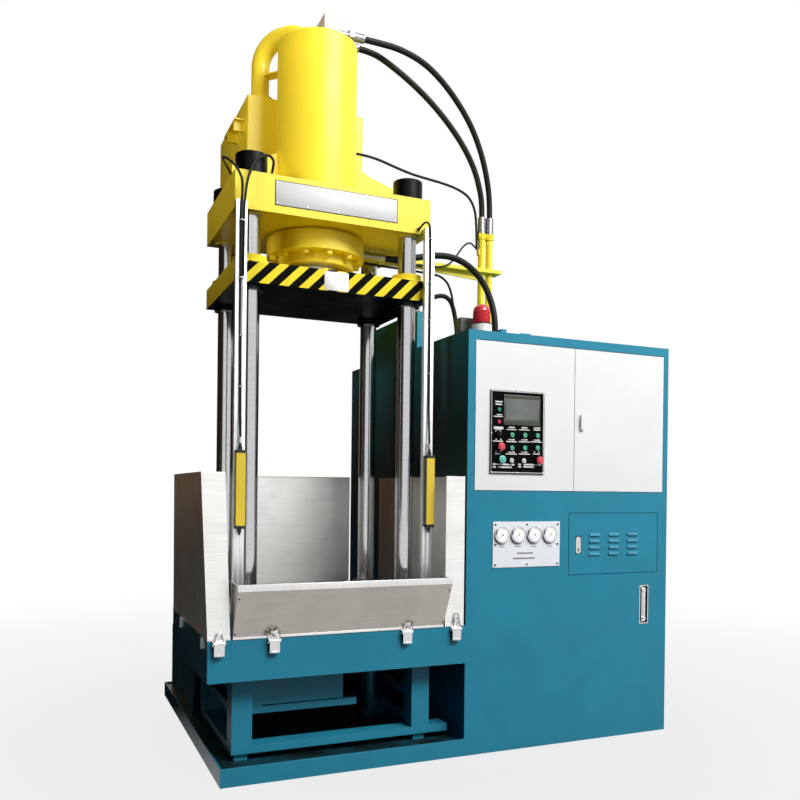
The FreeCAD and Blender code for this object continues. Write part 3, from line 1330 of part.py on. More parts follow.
def control_panel():
    y0 = "front_y - panel_proud"
    plate = cabinet_box("panel_plate", "panel_left", "panel_wide", "panel_base", "panel_high",
                        y0, "front_y")
    frame = cut("panel_frame",
                cabinet_box("frame_block", "panel_left", "panel_wide", "panel_base",
                            "panel_high", y0 + " - 3", y0),
                cabinet_box("frame_room", "panel_left", "panel_wide", "panel_base",
                            "panel_high", y0 + " - 4", y0 + " + 1", grow="-10"))
    bezels, holes = [], []
    for name in sorted(KEYS):
        x, high = panel_spot(*KEYS[name][1:])
        ring = cut("bezel_" + name, rod("bezel_out_" + name, "key_bezel", "key_bezel_high + 0.5",
                                        x, y0 + " + 0.5", high, OUTWARD),
                   rod("bezel_in_" + name, "key_head + key_gap", "key_bezel_high + 2", x,
                       y0 + " + 1", high, OUTWARD))
        bezels.append(ring)
        holes.append(rod("key_hole_" + name, "key_stem + key_gap", "panel_proud + 2", x,
                         "front_y + 1", high, OUTWARD))
    screen = cabinet_box("screen_hole", "screen_left", "screen_wide", "screen_base",
                         "screen_high", y0 + " - 1", "front_y + 1", grow="-4")
    pilots = []
    for name in sorted(LAMPS):
        x, high = panel_spot(*LAMPS[name])
        pilots.append(rod("pilot_hole_" + name, "lamp_radius - 2", "panel_proud + 2", x,
                          "front_y + 1", high, OUTWARD))
    bored = cut("panel_bored", plate, group("key_holes", holes), screen,
                group("pilot_holes", pilots))
    fitted = [operator_screen(), *pilot_lamps()]
    part("control_panel", fuse("panel_weldment", bored, frame, *(bezels + fitted)))


def operator_screen():
    y0 = "front_y - panel_proud"
    bezel = cut("screen_face",
                cabinet_box("screen_rim", "screen_left", "screen_wide", "screen_base",
                            "screen_high", y0 + " - 6", y0),
                cabinet_box("screen_glass", "screen_left", "screen_wide", "screen_base",
                            "screen_high", y0 + " - 7", y0 + " - 4", grow="-14"))
    case = cabinet_box("screen_case", "screen_left", "screen_wide", "screen_base",
                       "screen_high", y0, "front_y + screen_deep", grow="-6")
    return fuse("screen_weldment", bezel, case)


def pilot_lamps():
    y0 = "front_y - panel_proud"
    lamps = []
    for name in sorted(LAMPS):
        x, high = panel_spot(*LAMPS[name])
        lamps.append(turned("pilot_" + name,
                            [("0", "-20"), ("lamp_radius - 2", "-20"), ("lamp_radius - 2", "0"),
                             ("lamp_radius + 2", "0"), ("lamp_radius + 2", "3"),
                             ("lamp_radius", "3"), ("lamp_radius", "lamp_high - 2"),
                             ("lamp_radius - 3", "lamp_high"), ("0", "lamp_high")],
                            x, y0, high, OUTWARD))
    return lamps


def keys():
    """Each push button, mushroom and selector; heights are from the panel's face."""
    y0 = "front_y - panel_proud"
    low, top = "key_head_low", "key_head_low + key_head_high"
    stem = [("0", low + " - key_stem_long"), ("key_stem", low + " - key_stem_long"),
            ("key_stem", low), ("key_head", low)]
    for name in sorted(KEYS):
        kind = KEYS[name][0]
        x, high = panel_spot(*KEYS[name][1:])
        if kind == "push":
            shape = stem + [("key_head", top + " - 1.5"), ("key_head - 1.5", top), ("0", top)]
        elif kind == "mushroom":
            cap = "mushroom_low + mushroom_high"
            shape = stem + [("key_head", "mushroom_low"), ("mushroom_radius", "mushroom_low"),
                            ("mushroom_radius", cap + " - 5"),
                            ("mushroom_radius - 4", cap + " - 1.5"),
                            ("mushroom_radius - 9", cap), ("0", cap)]
        else:
            shape = stem + [("key_head", top), ("0", top)]
        body = turned("key_" + name, shape, x, y0, high, OUTWARD)
        if kind == "selector":
            lever = box("selector_lever", x + " - lever_wide / 2", x + " + lever_wide / 2",
                        y0 + " - (" + top + ") - lever_high", y0 + " - (" + top + ") + 1",
                        high + " - key_head + 1", high + " + key_head - 1")
            body = fuse("selector_solid", body, lever)
        part(name, body)


# ---------------------------------------------------------------------------
# on and in the cabinet
# ---------------------------------------------------------------------------
def beacon():
    x, y = "divide_x + beacon_left", "front_y + beacon_back"
    foot = turned("beacon_base", [("0", "0"), ("beacon_radius", "0"),
                                  ("beacon_radius", "beacon_foot - 6"),
                                  ("dome_radius", "beacon_foot"), ("0", "beacon_foot")],
                  x, y, "cabinet_high")
    part("lamp_base", foot)
    dome = turned("beacon_dome", [("0", "0"), ("dome_radius", "0"),
                                  ("dome_radius * 0.98", "dome_high * 0.45"),
                                  ("dome_radius * 0.9", "dome_high * 0.72"),
                                  ("dome_radius * 0.66", "dome_high * 0.91"),
                                  ("dome_radius * 0.3", "dome_high * 0.99"), ("0", "dome_high")],
                  x, y, "cabinet_high + beacon_foot")
    part("lamp_dome", dome)


def terminal_box():
    """A small box with an overlapping lid."""
    left, front = "divide_x + box_small_left", "front_y + box_small_back"
    right, back = left + " + box_small_wide", front + " + box_small_deep"
    top = "cabinet_high + box_small_high"
    lap = "box_small_lap"
    body = box("terminal_body", left + " + " + lap, right + " - " + lap, front + " + " + lap,
               back + " - " + lap, "cabinet_high", top + " - box_small_lid")
    lid = box("terminal_lid", left, right, front, back, top + " - box_small_lid", top)
    part("terminal_box", fuse("terminal_weldment", body, lid))


def pipe_stand():
    """Two riser pipes on the cabinet's roof, tied to the crown by a tapering arm."""
    y = "front_y + stand_back"
    first = "divide_x + stand_first"
    crown_side = "press_x + bed_wide / 2"
    pipes = [rod("riser_%d" % n, "stand_radius", "stand_top - cabinet_high - stand_foot",
                 first + " + %d * stand_pitch" % n, y, "cabinet_high + stand_foot")
             for n in range(2)]
    foot = box("riser_foot", first + " - 45", first + " + stand_pitch + 45", y + " - 45",
               y + " + 45", "cabinet_high", "cabinet_high + stand_foot")
    arm_x0 = crown_side + " - 70"
    root_y = "press_y + column_y - column_radius - 20 - arm_root"
    arm = padded("arm_plate", "XY_Plane",
                 [("0", "0"), ("divide_x + stand_first + stand_pitch + 60 - (%s)" % arm_x0,
                               "front_y + stand_back - arm_tip / 2 - (%s)" % root_y),
                  ("divide_x + stand_first + stand_pitch + 60 - (%s)" % arm_x0,
                   "front_y + stand_back + arm_tip / 2 - (%s)" % root_y),
                  ("0", "arm_root")],
                 "arm_thick", arm_x0, root_y, "crown_base - arm_thick")
    web = padded("arm_rib", "XZ_Plane",
                 [("0", "0"), ("divide_x + stand_first - (%s)" % arm_x0, "0"),
                  ("divide_x + stand_first - (%s)" % arm_x0, "-arm_web"), ("0", "-6")],
                 "arm_web_thick", arm_x0, y + " + arm_web_thick / 2", "crown_base - arm_thick")
    port = box("pilot_port", first + " - 24", first, y + " - 12", y + " + 12",
               "stand_top - 123", "stand_top - 88")
    part("pipe_stand", fuse("stand_weldment", arm, web, foot, port, *pipes))


def motor_pump():
    """Motor, bell housing and pump on a base plate over the tank."""
    x, y = "divide_x + motor_left", "front_y + motor_back"
    base, axis = "tank_lid + pump_base_thick", "tank_lid + motor_rise"
    bell = x + " + motor_long"
    pump = bell + " + bell_long"
    half = "pump_base_wide / 2"
    pieces = [box("pump_base", x + " - 20", pump + " + pump_long + 10", y + " - " + half,
                  y + " + " + half, "tank_lid", base),
              rod("motor_can", "motor_radius", "motor_long", x, y, axis, ALONG_X),
              box("motor_feet", x + " + 40", bell + " - 40", y + " - 100", y + " + 100", base,
                  axis + " - motor_radius + 20"),
              rod("bell_housing", "bell_radius", "bell_long", bell, y, axis, ALONG_X),
              rod("pump_body", "pump_radius", "pump_long", pump, y, axis, ALONG_X)]
    part("motor_pump", fuse("pump_set", *pieces))


def switchgear():
    """Mounting plate with rails and plain switching devices, tall and short in turn."""
    left, right = "divide_x + cabinet_sheet", "divide_x + cabinet_wide - cabinet_sheet"
    y = "front_y + gear_back"
    pieces = [box("gear_plate", left, right, y, y + " + 4", "room_split",
                  "cabinet_high - cabinet_sheet - 60")]
    for row in range(int(size("gear_rows"))):
        z = "room_split + 130 + %d * gear_pitch" % row
        pieces.append(box("gear_rail_%d" % row, left + " + 90", right + " - 90", y + " - 8", y,
                          z, z + " + 35"))
        for number in range(int(size("gear_columns"))):
            x = "divide_x + 130 + %d * gear_pitch" % number
            high = "gear_unit_high * 0.75" if (row + number) % 2 else "gear_unit_high"
            pieces.append(box("gear_unit_%d_%d" % (row, number), x, x + " + gear_unit_wide",
                              y + " - 8 - gear_unit_deep", y + " - 8", z + " - 30",
                              z + " - 30 + " + high))
    part("switchgear", fuse("gear_set", *pieces))


# ---------------------------------------------------------------------------
# hoses and cables: straight runs joined by tangent arcs, through chosen points
# ---------------------------------------------------------------------------
def tube(node, points, radius):
    """A round tube; each arc is as large as its two runs allow."""
    spots = [Vector(*p) for p in points]
    edges, here, radii = [], spots[0], []
    for before, corner, after in zip(spots, spots[1:], spots[2:]):
        back, ahead = before - corner, after - corner
        bend = math.pi - back.getAngle(ahead)
        reach = 0.45 * min(back.Length, ahead.Length)
        radii.append(reach / math.tan(bend / 2))
        back.normalize()
        ahead.normalize()
        start, end = corner + back * reach, corner + ahead * reach
        middle_way = (back + ahead).normalize()
        centre_far = radii[-1] / math.cos(bend / 2)
        middle = corner + middle_way * (centre_far - radii[-1])
        edges.append(Part.LineSegment(here, start).toShape())
        edges.append(Part.Arc(start, middle, end).toShape())
        here = end
    edges.append(Part.LineSegment(here, spots[-1]).toShape())
    path = Part.Wire(edges)
    solid = sweep(path, radius, spots[0], spots[1] - spots[0])
    wanted = math.pi * radius ** 2 * path.Length
    print("%s: length %.0f, volume/wanted %.4f, radii %s" % (
        node, path.Length, solid.Volume / wanted, " ".join("%.0f" % r for r in radii)))
    item = doc.addObject("Part::Feature", node + "_tube")
    item.Shape = solid
    part(node, item)


HOSES = {
    "hose_outer": ("hose_radius", [
        (-380, -380, 3646), (-300, -380, 3646), (-165, -356, 3656), (-15, -330, 3632),
        (110, -305, 3570), (225, -282, 3480), (325, -262, 3370), (400, -246, 3235),
        (447, -234, 3090), (469, -223, 2975), (469, -223, 2878)]),
    "hose_inner": ("hose_radius", [
        (-380, -292, 3640), (-295, -292, 3640), (-180, -285, 3595), (-50, -275, 3530),
        (75, -265, 3450), (190, -255, 3355), (290, -245, 3250), (365, -236, 3135),
        (406, -228, 3015), (418, -223, 2945), (418, -223, 2878)]),
    "hose_return": ("port_hose_radius", [
        (-236, -337, 2535), (-150, -337, 2535), (-25, -345, 2568), (100, -362, 2590),
        (195, -385, 2570), (265, -422, 2510), (305, -470, 2425), (324, -515, 2320),
        (330, -545, 2215), (330, -545, 2100)]),
    "pilot_line": ("pilot_radius", [
        (-389, -301, 3080), (-330, -301, 3080), (-255, -300, 3071), (-165, -296, 3050),
        (-60, -285, 3032), (50, -268, 3028), (150, -252, 3026), (250, -240, 3014),
        (330, -230, 2985), (372, -225, 2920), (382, -223, 2840), (386, -223, 2765),
        (386, -223, 2695)]),
}


def hoses():
    for node in sorted(HOSES):
        radius, points = HOSES[node]
        tube(node, points, size(radius))


def round_bar(start, end, radius):
    return Part.makeCylinder(radius, (end - start).Length, start, end - start)


def nut_solid(start, along):
    """A hexagon nut whose lower face is centred on start."""
    wide = size("coupling_nut")
    corners = [Vector(wide * math.cos(n * math.pi / 3), wide * math.sin(n * math.pi / 3), 0)
               for n in range(7)]
    prism = Part.Face(Part.makePolygon(corners)).extrude(Vector(0, 0, size("coupling_nut_high")))
    prism.Placement = Placement(start, Rotation(Vector(0, 0, 1), along))
    return prism


# where the couplings on the press end: across, front to back, height
HOSE_ENDS = {
    "hose_outer": ("press_x + block_x + block_wide / 2 + hose_reach",
                   "press_y - outer_hose_out", "barrel_top + outer_hose_rise"),
    "hose_inner": ("press_x + block_x + block_wide / 2 + hose_reach",
                   "press_y + inner_hose_back", "barrel_top + inner_hose_rise"),
    "hose_return": ("press_x + flange_radius + return_reach", "press_y",
                    "crown_base - return_drop"),
    "pilot_line": ("press_x + barrel_radius + pilot_reach", "press_y + pilot_back",
                   "crown_base + pilot_rise"),
}


def hose_end(node):
    return Vector(*[worked(text) for text in HOSE_ENDS[node]])


def hose_couplings():
    """Crimped ferrules, nuts and adaptors at the hose ends."""
    solids = []
    wide, up, across = size("ferrule_radius"), Vector(0, 0, 1), Vector(1, 0, 0)
    for number in range(2):
        foot = Vector(worked("divide_x + stand_first + %d * stand_pitch" % number),
                      worked("front_y + stand_back"), size("stand_top"))
        solids.append(round_bar(foot, foot + up * size("ferrule_long"), wide))
    side = worked("press_x + block_x + block_wide / 2")
    for node in ("hose_outer", "hose_inner"):
        end = hose_end(node)
        near = end - across * size("end_ferrule_long")
        seat = near - across * size("coupling_nut_high")
        solids += [round_bar(near, end, wide), nut_solid(seat, across),
                   round_bar(Vector(side, end.y, end.z), seat, size("adaptor_radius"))]
    end = hose_end("pilot_line")
    thin = size("pilot_fitting")
    aside = abs(end.y - size("press_y")) - thin
    skin = size("press_x") + math.sqrt(size("barrel_radius") ** 2 - aside ** 2)
    solids.append(round_bar(Vector(skin + size("seat_gap"), end.y, end.z), end, thin))
    end = hose_end("hose_return")
    port = Vector(worked("press_x + flange_radius"), end.y, end.z)
    ledge = port + across * size("port_long")
    solids += [round_bar(port, ledge, size("port_radius")), round_bar(ledge, end, wide)]
    merged = solids[0].multiFuse(solids[1:])
    item = doc.addObject("Part::Feature", "coupling_set")
    item.Shape = Part.makeCompound(merged.Solids)
    part("hose_couplings", item)


# ---------------------------------------------------------------------------
# build, check, write
# ---------------------------------------------------------------------------
for make in (base_tray, bolster, underframe, splash_box, columns, column_nuts, crown,
             main_cylinder, gland_ring, ram, bolts, slide_plate, guide_bushes, prefill_tank,
             prefill_pipe, hose_manifold, guard_left, guard_right, front_trough, latches,
             light_curtains, cabinet_housing, doors, door_latch, louvre_door, louvre_lock,
             gauge_plate, pressure_gauges, level_gauge, control_panel, keys, beacon, terminal_box,
             pipe_stand, motor_pump, switchgear, hoses, hose_couplings):
    make()
doc.recompute()

for item in doc.Objects:
    if "Invalid" in item.State or "Error" in item.State:
        raise RuntimeError("%s did not build" % item.Name)
os.makedirs("parts", exist_ok=True)
for node, item in PARTS:
    shape = item.Shape
    if shape.isNull() or not shape.isValid() or not shape.Solids:
        raise RuntimeError("%s has no valid solid" % node)
    shape.exportStep("parts/%s.step" % node)
print("%d sub-parts" % len(PARTS))
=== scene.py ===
"""Dresses a four-column hydraulic press: paints, bright metals, hoses, dials and small fittings."""

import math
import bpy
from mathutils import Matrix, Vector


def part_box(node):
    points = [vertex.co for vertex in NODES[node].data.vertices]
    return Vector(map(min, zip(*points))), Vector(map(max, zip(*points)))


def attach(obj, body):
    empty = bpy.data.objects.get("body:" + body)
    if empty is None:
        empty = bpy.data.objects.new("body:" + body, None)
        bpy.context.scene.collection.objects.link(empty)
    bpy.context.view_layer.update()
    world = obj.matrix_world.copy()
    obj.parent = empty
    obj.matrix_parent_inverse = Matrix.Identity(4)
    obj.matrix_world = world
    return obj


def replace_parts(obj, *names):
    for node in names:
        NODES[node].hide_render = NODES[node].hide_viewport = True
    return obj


bl_info = {
    "name": "Hydraulic Press",
    "version": (1, 0, 0),
    "blender": (4, 5, 0),
    "location": "3D View > Sidebar > Press",
    "description": "Finishes and small fittings of a four-column hydraulic press",
    "category": "Object",
}

import bmesh
import bpy
from mathutils import Matrix, Vector

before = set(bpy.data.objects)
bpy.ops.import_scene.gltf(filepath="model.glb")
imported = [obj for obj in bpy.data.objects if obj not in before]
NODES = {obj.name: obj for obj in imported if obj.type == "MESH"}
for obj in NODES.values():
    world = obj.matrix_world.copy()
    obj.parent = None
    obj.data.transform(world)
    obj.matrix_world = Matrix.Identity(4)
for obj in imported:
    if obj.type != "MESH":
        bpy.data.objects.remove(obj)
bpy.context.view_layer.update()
MM = 0.001
ACROSS, ALONG, UP = Vector((1, 0, 0)), Vector((0, 1, 0)), Vector((0, 0, 1))
WHITE = (1, 1, 1, 1)


def mm(*numbers):
    """A point, or an extent, given in millimetres."""
    return Vector(numbers) * MM


def linear(code):
    """The linear colour of an sRGB hex value, such as #FBE94C."""
    parts = [int(code[at:at + 2], 16) / 255 for at in (1, 3, 5)]
    return tuple(c / 12.92 if c <= 0.04045 else ((c + 0.055) / 1.055) ** 2.4 for c in parts)


def shaded(colour, share=1.0):
    """A darker or lighter tone of a linear colour or hex value, with full alpha."""
    colour = linear(colour) if isinstance(colour, str) else colour[:3]
    return tuple(min(1.0, c * share) for c in colour) + (1.0,)


# --- what a user may change
def tone(name, description, code):
    """A colour property whose default is an sRGB hex value."""
    return bpy.props.FloatVectorProperty(name=name, description=description, subtype="COLOR",
                                         size=3, min=0, max=1, default=linear(code))


def length(name, description, millimetres):
    """A length property, in metres, given here in millimetres."""
    return bpy.props.FloatProperty(name=name, description=description, unit="LENGTH",
                                   min=0, default=millimetres * MM)


class PressColours(bpy.types.PropertyGroup):
    yellow: tone("Yellow", "Gloss enamel of the crown, cylinder, tank and slide", "#F3DD38")
    blue: tone("Blue", "Satin enamel of the cabinet, bed and tray", "#2688A4")
    white: tone("White", "Gloss enamel of the two tall doors", "#ECEEEE")
    curtain: tone("Curtain yellow", "Powder coat of the light curtains", "#F1D336")
    plate: tone("Plate grey", "Printed ground of the gauge plate", "#F0F4F8")
    red: tone("Red", "Acrylic of the warning lamp", "#D3122C")
    stop_red: tone("Stop red", "Moulded red of the two stop buttons", "#E4485A")
    green: tone("Green", "Moulded mint green of the push buttons", "#5FC7A0")
    device: tone("Device grey", "Moulded grey of the terminal box and the switchgear", "#6C7070")


class PressSizes(bpy.types.PropertyGroup):
    stripe_pitch: length("Stripe pitch", "Hazard stripes on the slide, apart", 95)
    stripe_wide: length("Stripe width", "One black hazard stripe", 48)
    weld_size: length("Weld size", "Throat of a painted weld bead", 7)
    dial_ticks: bpy.props.IntProperty(name="Dial ticks", min=5, max=60, default=26,
                                      description="Graduations on a pressure gauge")


# --- materials
def feed(node, values):
    """Set a node's sockets and its own settings, and link the nodes and sockets among them."""
    for name, value in values.items():
        if isinstance(value, bpy.types.Node):
            value = value.outputs[2 if value.type == "MIX" else 0]
        if isinstance(value, bpy.types.NodeSocket):
            node.id_data.links.new(value, node.inputs[name])
        elif isinstance(name, int) or name in node.inputs:
            node.inputs[name].default_value = value
        else:
            setattr(node, name, value)
    return node


def add(tree, kind, values=None):
    """Add a shader node with its settings and its links."""
    return feed(tree.nodes.new("ShaderNode" + kind), values or {})


def fresh(name):
    """A material with one principled shader on its output."""
    stuff = bpy.data.materials.new(name)
    stuff.use_nodes = True
    tree = stuff.node_tree
    tree.nodes.clear()
    surface = add(tree, "BsdfPrincipled")
    add(tree, "OutputMaterial", {"Surface": surface})
    return stuff, tree, surface


def opened(stuff, kind="BSDF_PRINCIPLED"):
    """A material's tree and its one node of a kind."""
    tree = stuff.node_tree
    return tree, next(node for node in tree.nodes if node.type == kind)


def textured(name, tones, size_mm, settings, detail=2.0, span=(0, 1), rough=None,
             rough_span=(0, 1), relief=None, edge_mm=0.0, peel_mm=None):
    """A finish whose colour wanders between two tones, in patches of one size or of a size each
    way. Rough is what the patches' roughness runs between, relief is the strength and the depth
    in mm of their bump, edge_mm rounds the edges, and peel_mm gives the bump its own size."""
    stuff, tree, surface = fresh(name)
    where = add(tree, "TexCoord").outputs["Object"]
    sizes = size_mm if isinstance(size_mm, tuple) else (size_mm,) * 3
    run = add(tree, "Mapping", {"Scale": [1 / (size * MM) for size in sizes], "Vector": where})
    patches = add(tree, "TexNoise", {"Scale": 1.0, "Detail": detail, "Vector": run})
    share = add(tree, "MapRange", {"From Min": span[0], "From Max": span[1], "Value": patches})
    blend = add(tree, "Mix", {"data_type": "RGBA", 0: share, 6: tones[0], 7: tones[1]})
    feed(surface, {**settings, "Base Color": blend})
    if rough:
        feed(surface, {"Roughness": add(tree, "MapRange", {
            "From Min": rough_span[0], "From Max": rough_span[1], "To Min": rough[0],
            "To Max": rough[1], "Value": patches})})
    if relief:
        height = patches
        if peel_mm:
            height = add(tree, "TexNoise", {"Scale": 1 / (peel_mm * MM), "Detail": 2.0,
                                            "Vector": where})
        bump = add(tree, "Bump", {"Strength": relief[0], "Distance": relief[1] * MM,
                                  "Height": height})
        if edge_mm:
            feed(bump, {"Normal": add(tree, "Bevel", {"samples": 4, "Radius": edge_mm * MM})})
        feed(surface, {"Normal": bump})
    return stuff


def covered(stuff, colour, share):
    """Lay another colour over a finish, as far as a node or socket says."""
    tree, surface = opened(stuff)
    under = surface.inputs["Base Color"].links[0].from_socket
    blend = add(tree, "Mix", {"data_type": "RGBA", 0: share, 6: under, 7: colour})
    feed(surface, {"Base Color": blend})


def sprayed_enamel(name, colour, rough, coat, peel_mm=3.0, drift=0.93, ior=1.5):
    """Enamel sprayed on steel: orange peel a few millimetres across, and slow drifts of tone."""
    return textured(name, (shaded(colour, drift), shaded(colour)), 180,
                    {"IOR": ior, "Coat Weight": coat, "Coat Roughness": 0.08}, 4.0, (0.32, 0.68),
                    (rough * 0.85, rough * 1.2), (0.3, 0.7), (0.12, 0.15), 2.0, peel_mm)


def brushed_sheet(name, colour, rough, grain, line_mm=1.6, long_mm=220, rumple_mm=0.0):
    """Stainless sheet, belt-ground: long fine scratches along one axis, drawn coarse enough
    to show, the faint clouds of handling, and a slow rumple where the sheet is wide."""
    sizes = tuple(long_mm if axis == grain else line_mm for axis in "xyz")
    stuff = textured(name, (shaded(colour, 0.86), shaded(colour, 1.08)), sizes, {"Metallic": 1.0},
                     3.0, (0.25, 0.75), (rough * 0.8, rough * 1.35), relief=(0.08, 0.1),
                     edge_mm=1.2)
    tree, surface = opened(stuff)
    where = add(tree, "TexCoord").outputs["Object"]
    cloud = add(tree, "TexNoise", {"Scale": 1 / (160 * MM), "Detail": 5.0, "Vector": where})
    covered(stuff, shaded(colour, 0.72), add(tree, "MapRange", {
        "From Min": 0.45, "From Max": 0.75, "To Max": 0.45, "Value": cloud}))
    if rumple_mm:
        under = surface.inputs["Normal"].links[0].from_socket
        wave = add(tree, "TexNoise", {"Scale": 1 / (240 * MM), "Detail": 1.0, "Vector": where})
        feed(surface, {"Normal": add(tree, "Bump", {
            "Strength": 1.0, "Distance": rumple_mm * MM, "Height": wave, "Normal": under})})
    return stuff


def plain_metal(name, colour, rough, swirl_mm=1.2, strength=0.06):
    """Turned or plated metal: fine tool marks, with its tone varying a little."""
    return textured(name, (shaded(colour, 0.9), shaded(colour, 1.04)), (50, 50, swirl_mm),
                    {"Metallic": 1.0}, 2.0, (0.3, 0.7), (rough * 0.8, rough * 1.3),
                    relief=(strength, 0.08), edge_mm=0.8)


def moulded(name, colour, rough=0.4, grain_mm=0.6, strength=0.15, ior=1.49):
    """Injection-moulded plastic: an even colour with a fine eroded grain."""
    return textured(name, (shaded(colour, 0.92), shaded(colour, 1.05)), grain_mm,
                    {"Roughness": rough, "IOR": ior}, relief=(strength, 0.05), edge_mm=0.6)


def yellow_slide(colour, sizes):
    """The crown's yellow enamel, with black hazard stripes masked off and painted on the front,
    and the sooty black that the slide's underside is painted."""
    stuff = sprayed_enamel("yellow and black enamel, sprayed", colour, 0.42, 0.0, ior=1.1)
    tree = stuff.node_tree
    where = add(tree, "TexCoord").outputs["Object"]
    parts = add(tree, "SeparateXYZ", {"Vector": where}).outputs
    low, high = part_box("slide_plate")
    pitch, wide = sizes.stripe_pitch, sizes.stripe_wide
    last = high.x - 8 * MM - (low.z + 100 * MM) - wide
    slant = add(tree, "Math", {"operation": "SUBTRACT", 0: parts["X"], 1: parts["Z"]})
    turns = add(tree, "MapRange", {"clamp": False, "From Min": last, "From Max": last + pitch,
                                   "Value": slant})
    phase = add(tree, "Math", {"operation": "FRACT", 0: turns})
    stripe = add(tree, "Math", {"operation": "LESS_THAN", 0: phase, 1: wide / pitch})
    front = add(tree, "Math", {"operation": "LESS_THAN", 0: parts["Y"], 1: low.y + 0.5 * MM})
    black = shaded("#070806")
    covered(stuff, black, add(tree, "Math", {"operation": "MULTIPLY", 0: stripe, 1: front}))
    covered(stuff, black, add(tree, "MapRange", {
        "From Min": low.z + 1.0 * MM, "From Max": low.z + 0.5 * MM, "Value": parts["Z"]}))
    return stuff


DECK_TOP = 0.0745


def tray_enamel(colour):
    """The blue enamel of the drip tray, with painted shade on its deck: a patchy near-black over
    its upward faces.
    """
    stuff = sprayed_enamel("blue satin enamel, painted shade on the deck", colour, 0.36, 0.04, 2.5, 0.9,
                           1.32)
    tree = stuff.node_tree
    where = add(tree, "TexCoord").outputs["Object"]
    spread = add(tree, "TexNoise", {"Scale": 1 / (140 * MM), "Detail": 6.0, "Vector": where})
    spot = add(tree, "SeparateXYZ", {"Vector": where}).outputs
    lean = add(tree, "SeparateXYZ", {"Vector": add(tree, "NewGeometry").outputs["Normal"]}).outputs
    deck = add(tree, "MapRange", {"From Min": DECK_TOP + 2.5 * MM, "From Max": DECK_TOP,
                                  "Value": spot["Z"]})
    upward = add(tree, "MapRange", {"From Min": 0.6, "From Max": 0.9, "Value": lean["Z"]})
    thick = add(tree, "MapRange", {"From Min": 0.2, "From Max": 0.6, "To Min": 0.7,
                                   "Value": spread})
    # painted shade: near-black, in patches, over the deck's upward faces
    film = add(tree, "Math", {"operation": "MULTIPLY", 0: deck, 1: upward})
    covered(stuff, shaded("#101814"),
            add(tree, "Math", {"operation": "MULTIPLY", 0: film, 1: thick}))
    return stuff


# painted shadows of the latch bails on the trough: a spot and its reach, in mm
LATCH_SHADOWS = (((-957, -832, 668), 46), ((-960, -832, 684), 24), ((-292, -830, 666), 34),
          ((-276, -830, 672), 20))


def grimy_sheet():
    """The trough's stained stainless, with brown painted shadow round its two latches, where their
    bails shade it.
    """
    stuff = brushed_sheet("stainless sheet, brushed and stained, painted latch shadows", "#AFA9A3", 0.4, "x",
                          rumple_mm=6.0)
    tree = stuff.node_tree
    where = add(tree, "TexCoord").outputs["Object"]
    rough = add(tree, "TexNoise", {"Scale": 1 / (9 * MM), "Detail": 4.0, "Vector": where})
    patchy = add(tree, "MapRange", {"From Min": 0.36, "From Max": 0.56, "Value": rough})
    painted_shadow = None
    for spot, reach in LATCH_SHADOWS:
        away = add(tree, "VectorMath", {"operation": "DISTANCE", 0: where, 1: mm(*spot)})
        near = add(tree, "MapRange", {"From Min": reach * MM, "From Max": reach * 0.35 * MM,
                                      "Value": away.outputs["Value"]})
        painted_shadow = add(tree, "Math", {"operation": "MAXIMUM", 0: painted_shadow, 1: near}) if painted_shadow else near
    # painted shadow: patchy dark brown round the two latches
    covered(stuff, shaded("#3A2C20"),
            add(tree, "Math", {"operation": "MULTIPLY", 0: painted_shadow, 1: patchy}))
    return stuff


def hose_rubber():
    """Extruded synthetic rubber with a cloth-wrapped skin: a dull black with a faint weave."""
    return textured("wrapped hose rubber", (shaded("#0A0B09"), shaded("#1C1D1A")), 1.5,
                    {"Roughness": 0.42, "IOR": 1.25}, relief=(0.25, 0.2))


def lamp_plastic(colour):
    """Clear red acrylic over a lamp: it gleams on its ribs."""
    return textured("red acrylic, moulded", (shaded(colour, 0.85), shaded(colour, 1.15)), 30,
                    {"Roughness": 0.16, "IOR": 1.49, "Coat Weight": 0.4})


def clear_glass():
    """Flat window glass: nearly invisible, with a gleam at low angles."""
    stuff, _, surface = fresh("window glass, float")
    feed(surface, {"Base Color": WHITE, "Roughness": 0.02, "Transmission Weight": 1.0,
                   "IOR": 1.1})
    return stuff


def screen_glass():
    """An unlit operator screen: grey-green behind a glossy film, with a soft lighter centre."""
    return textured("unlit display film", (shaded("#4F5554"), shaded("#7C8280")), 120,
                    {"Roughness": 0.12}, 1.0)


def floor_finish():
    """Grey studio floor. To the camera it fades into the white background, and bright metal
    mirrors it pale in front of the press and dark behind."""
    stuff, tree, surface = fresh("studio floor paint")
    feed(surface, {"Base Color": shaded("#3C3D3E"), "Roughness": 0.6})
    where = add(tree, "TexCoord").outputs["Object"]
    path = add(tree, "LightPath").outputs
    far = add(tree, "VectorMath", {"operation": "LENGTH", 0: where}).outputs["Value"]
    glow = add(tree, "Emission", {"Color": WHITE, "Strength": 1.0})
    fade = add(tree, "MapRange", {"From Min": 1.2, "From Max": 6.0, "To Min": 0.82, "Value": far})
    share = add(tree, "Math", {"operation": "MULTIPLY", 0: fade, 1: path["Is Camera Ray"]})
    mixed = add(tree, "MixShader", {0: share, 1: surface, 2: glow})
    along = add(tree, "SeparateXYZ", {"Vector": where}).outputs["Y"]
    back = add(tree, "MapRange", {"From Min": -1.0, "From Max": 0.6, "Value": along})
    shade = add(tree, "Mix", {"data_type": "RGBA", 0: back, 6: WHITE, 7: shaded("#1E1913")})
    shop = add(tree, "Emission", {"Color": shade, "Strength": path["Is Glossy Ray"]})
    # to diffuse bounces the floor is black, so no light comes up off it and the press's undersides
    # and left faces stay in deep shade
    bounced = add(tree, "Math", {"operation": "MAXIMUM", 0: path["Is Glossy Ray"],
                                 1: path["Is Diffuse Ray"]})
    both = add(tree, "MixShader", {0: bounced, 1: mixed, 2: shop})
    feed(opened(stuff, "OUTPUT_MATERIAL")[1], {"Surface": both})
    return stuff


STUFF = {}  # the finished materials, by short name


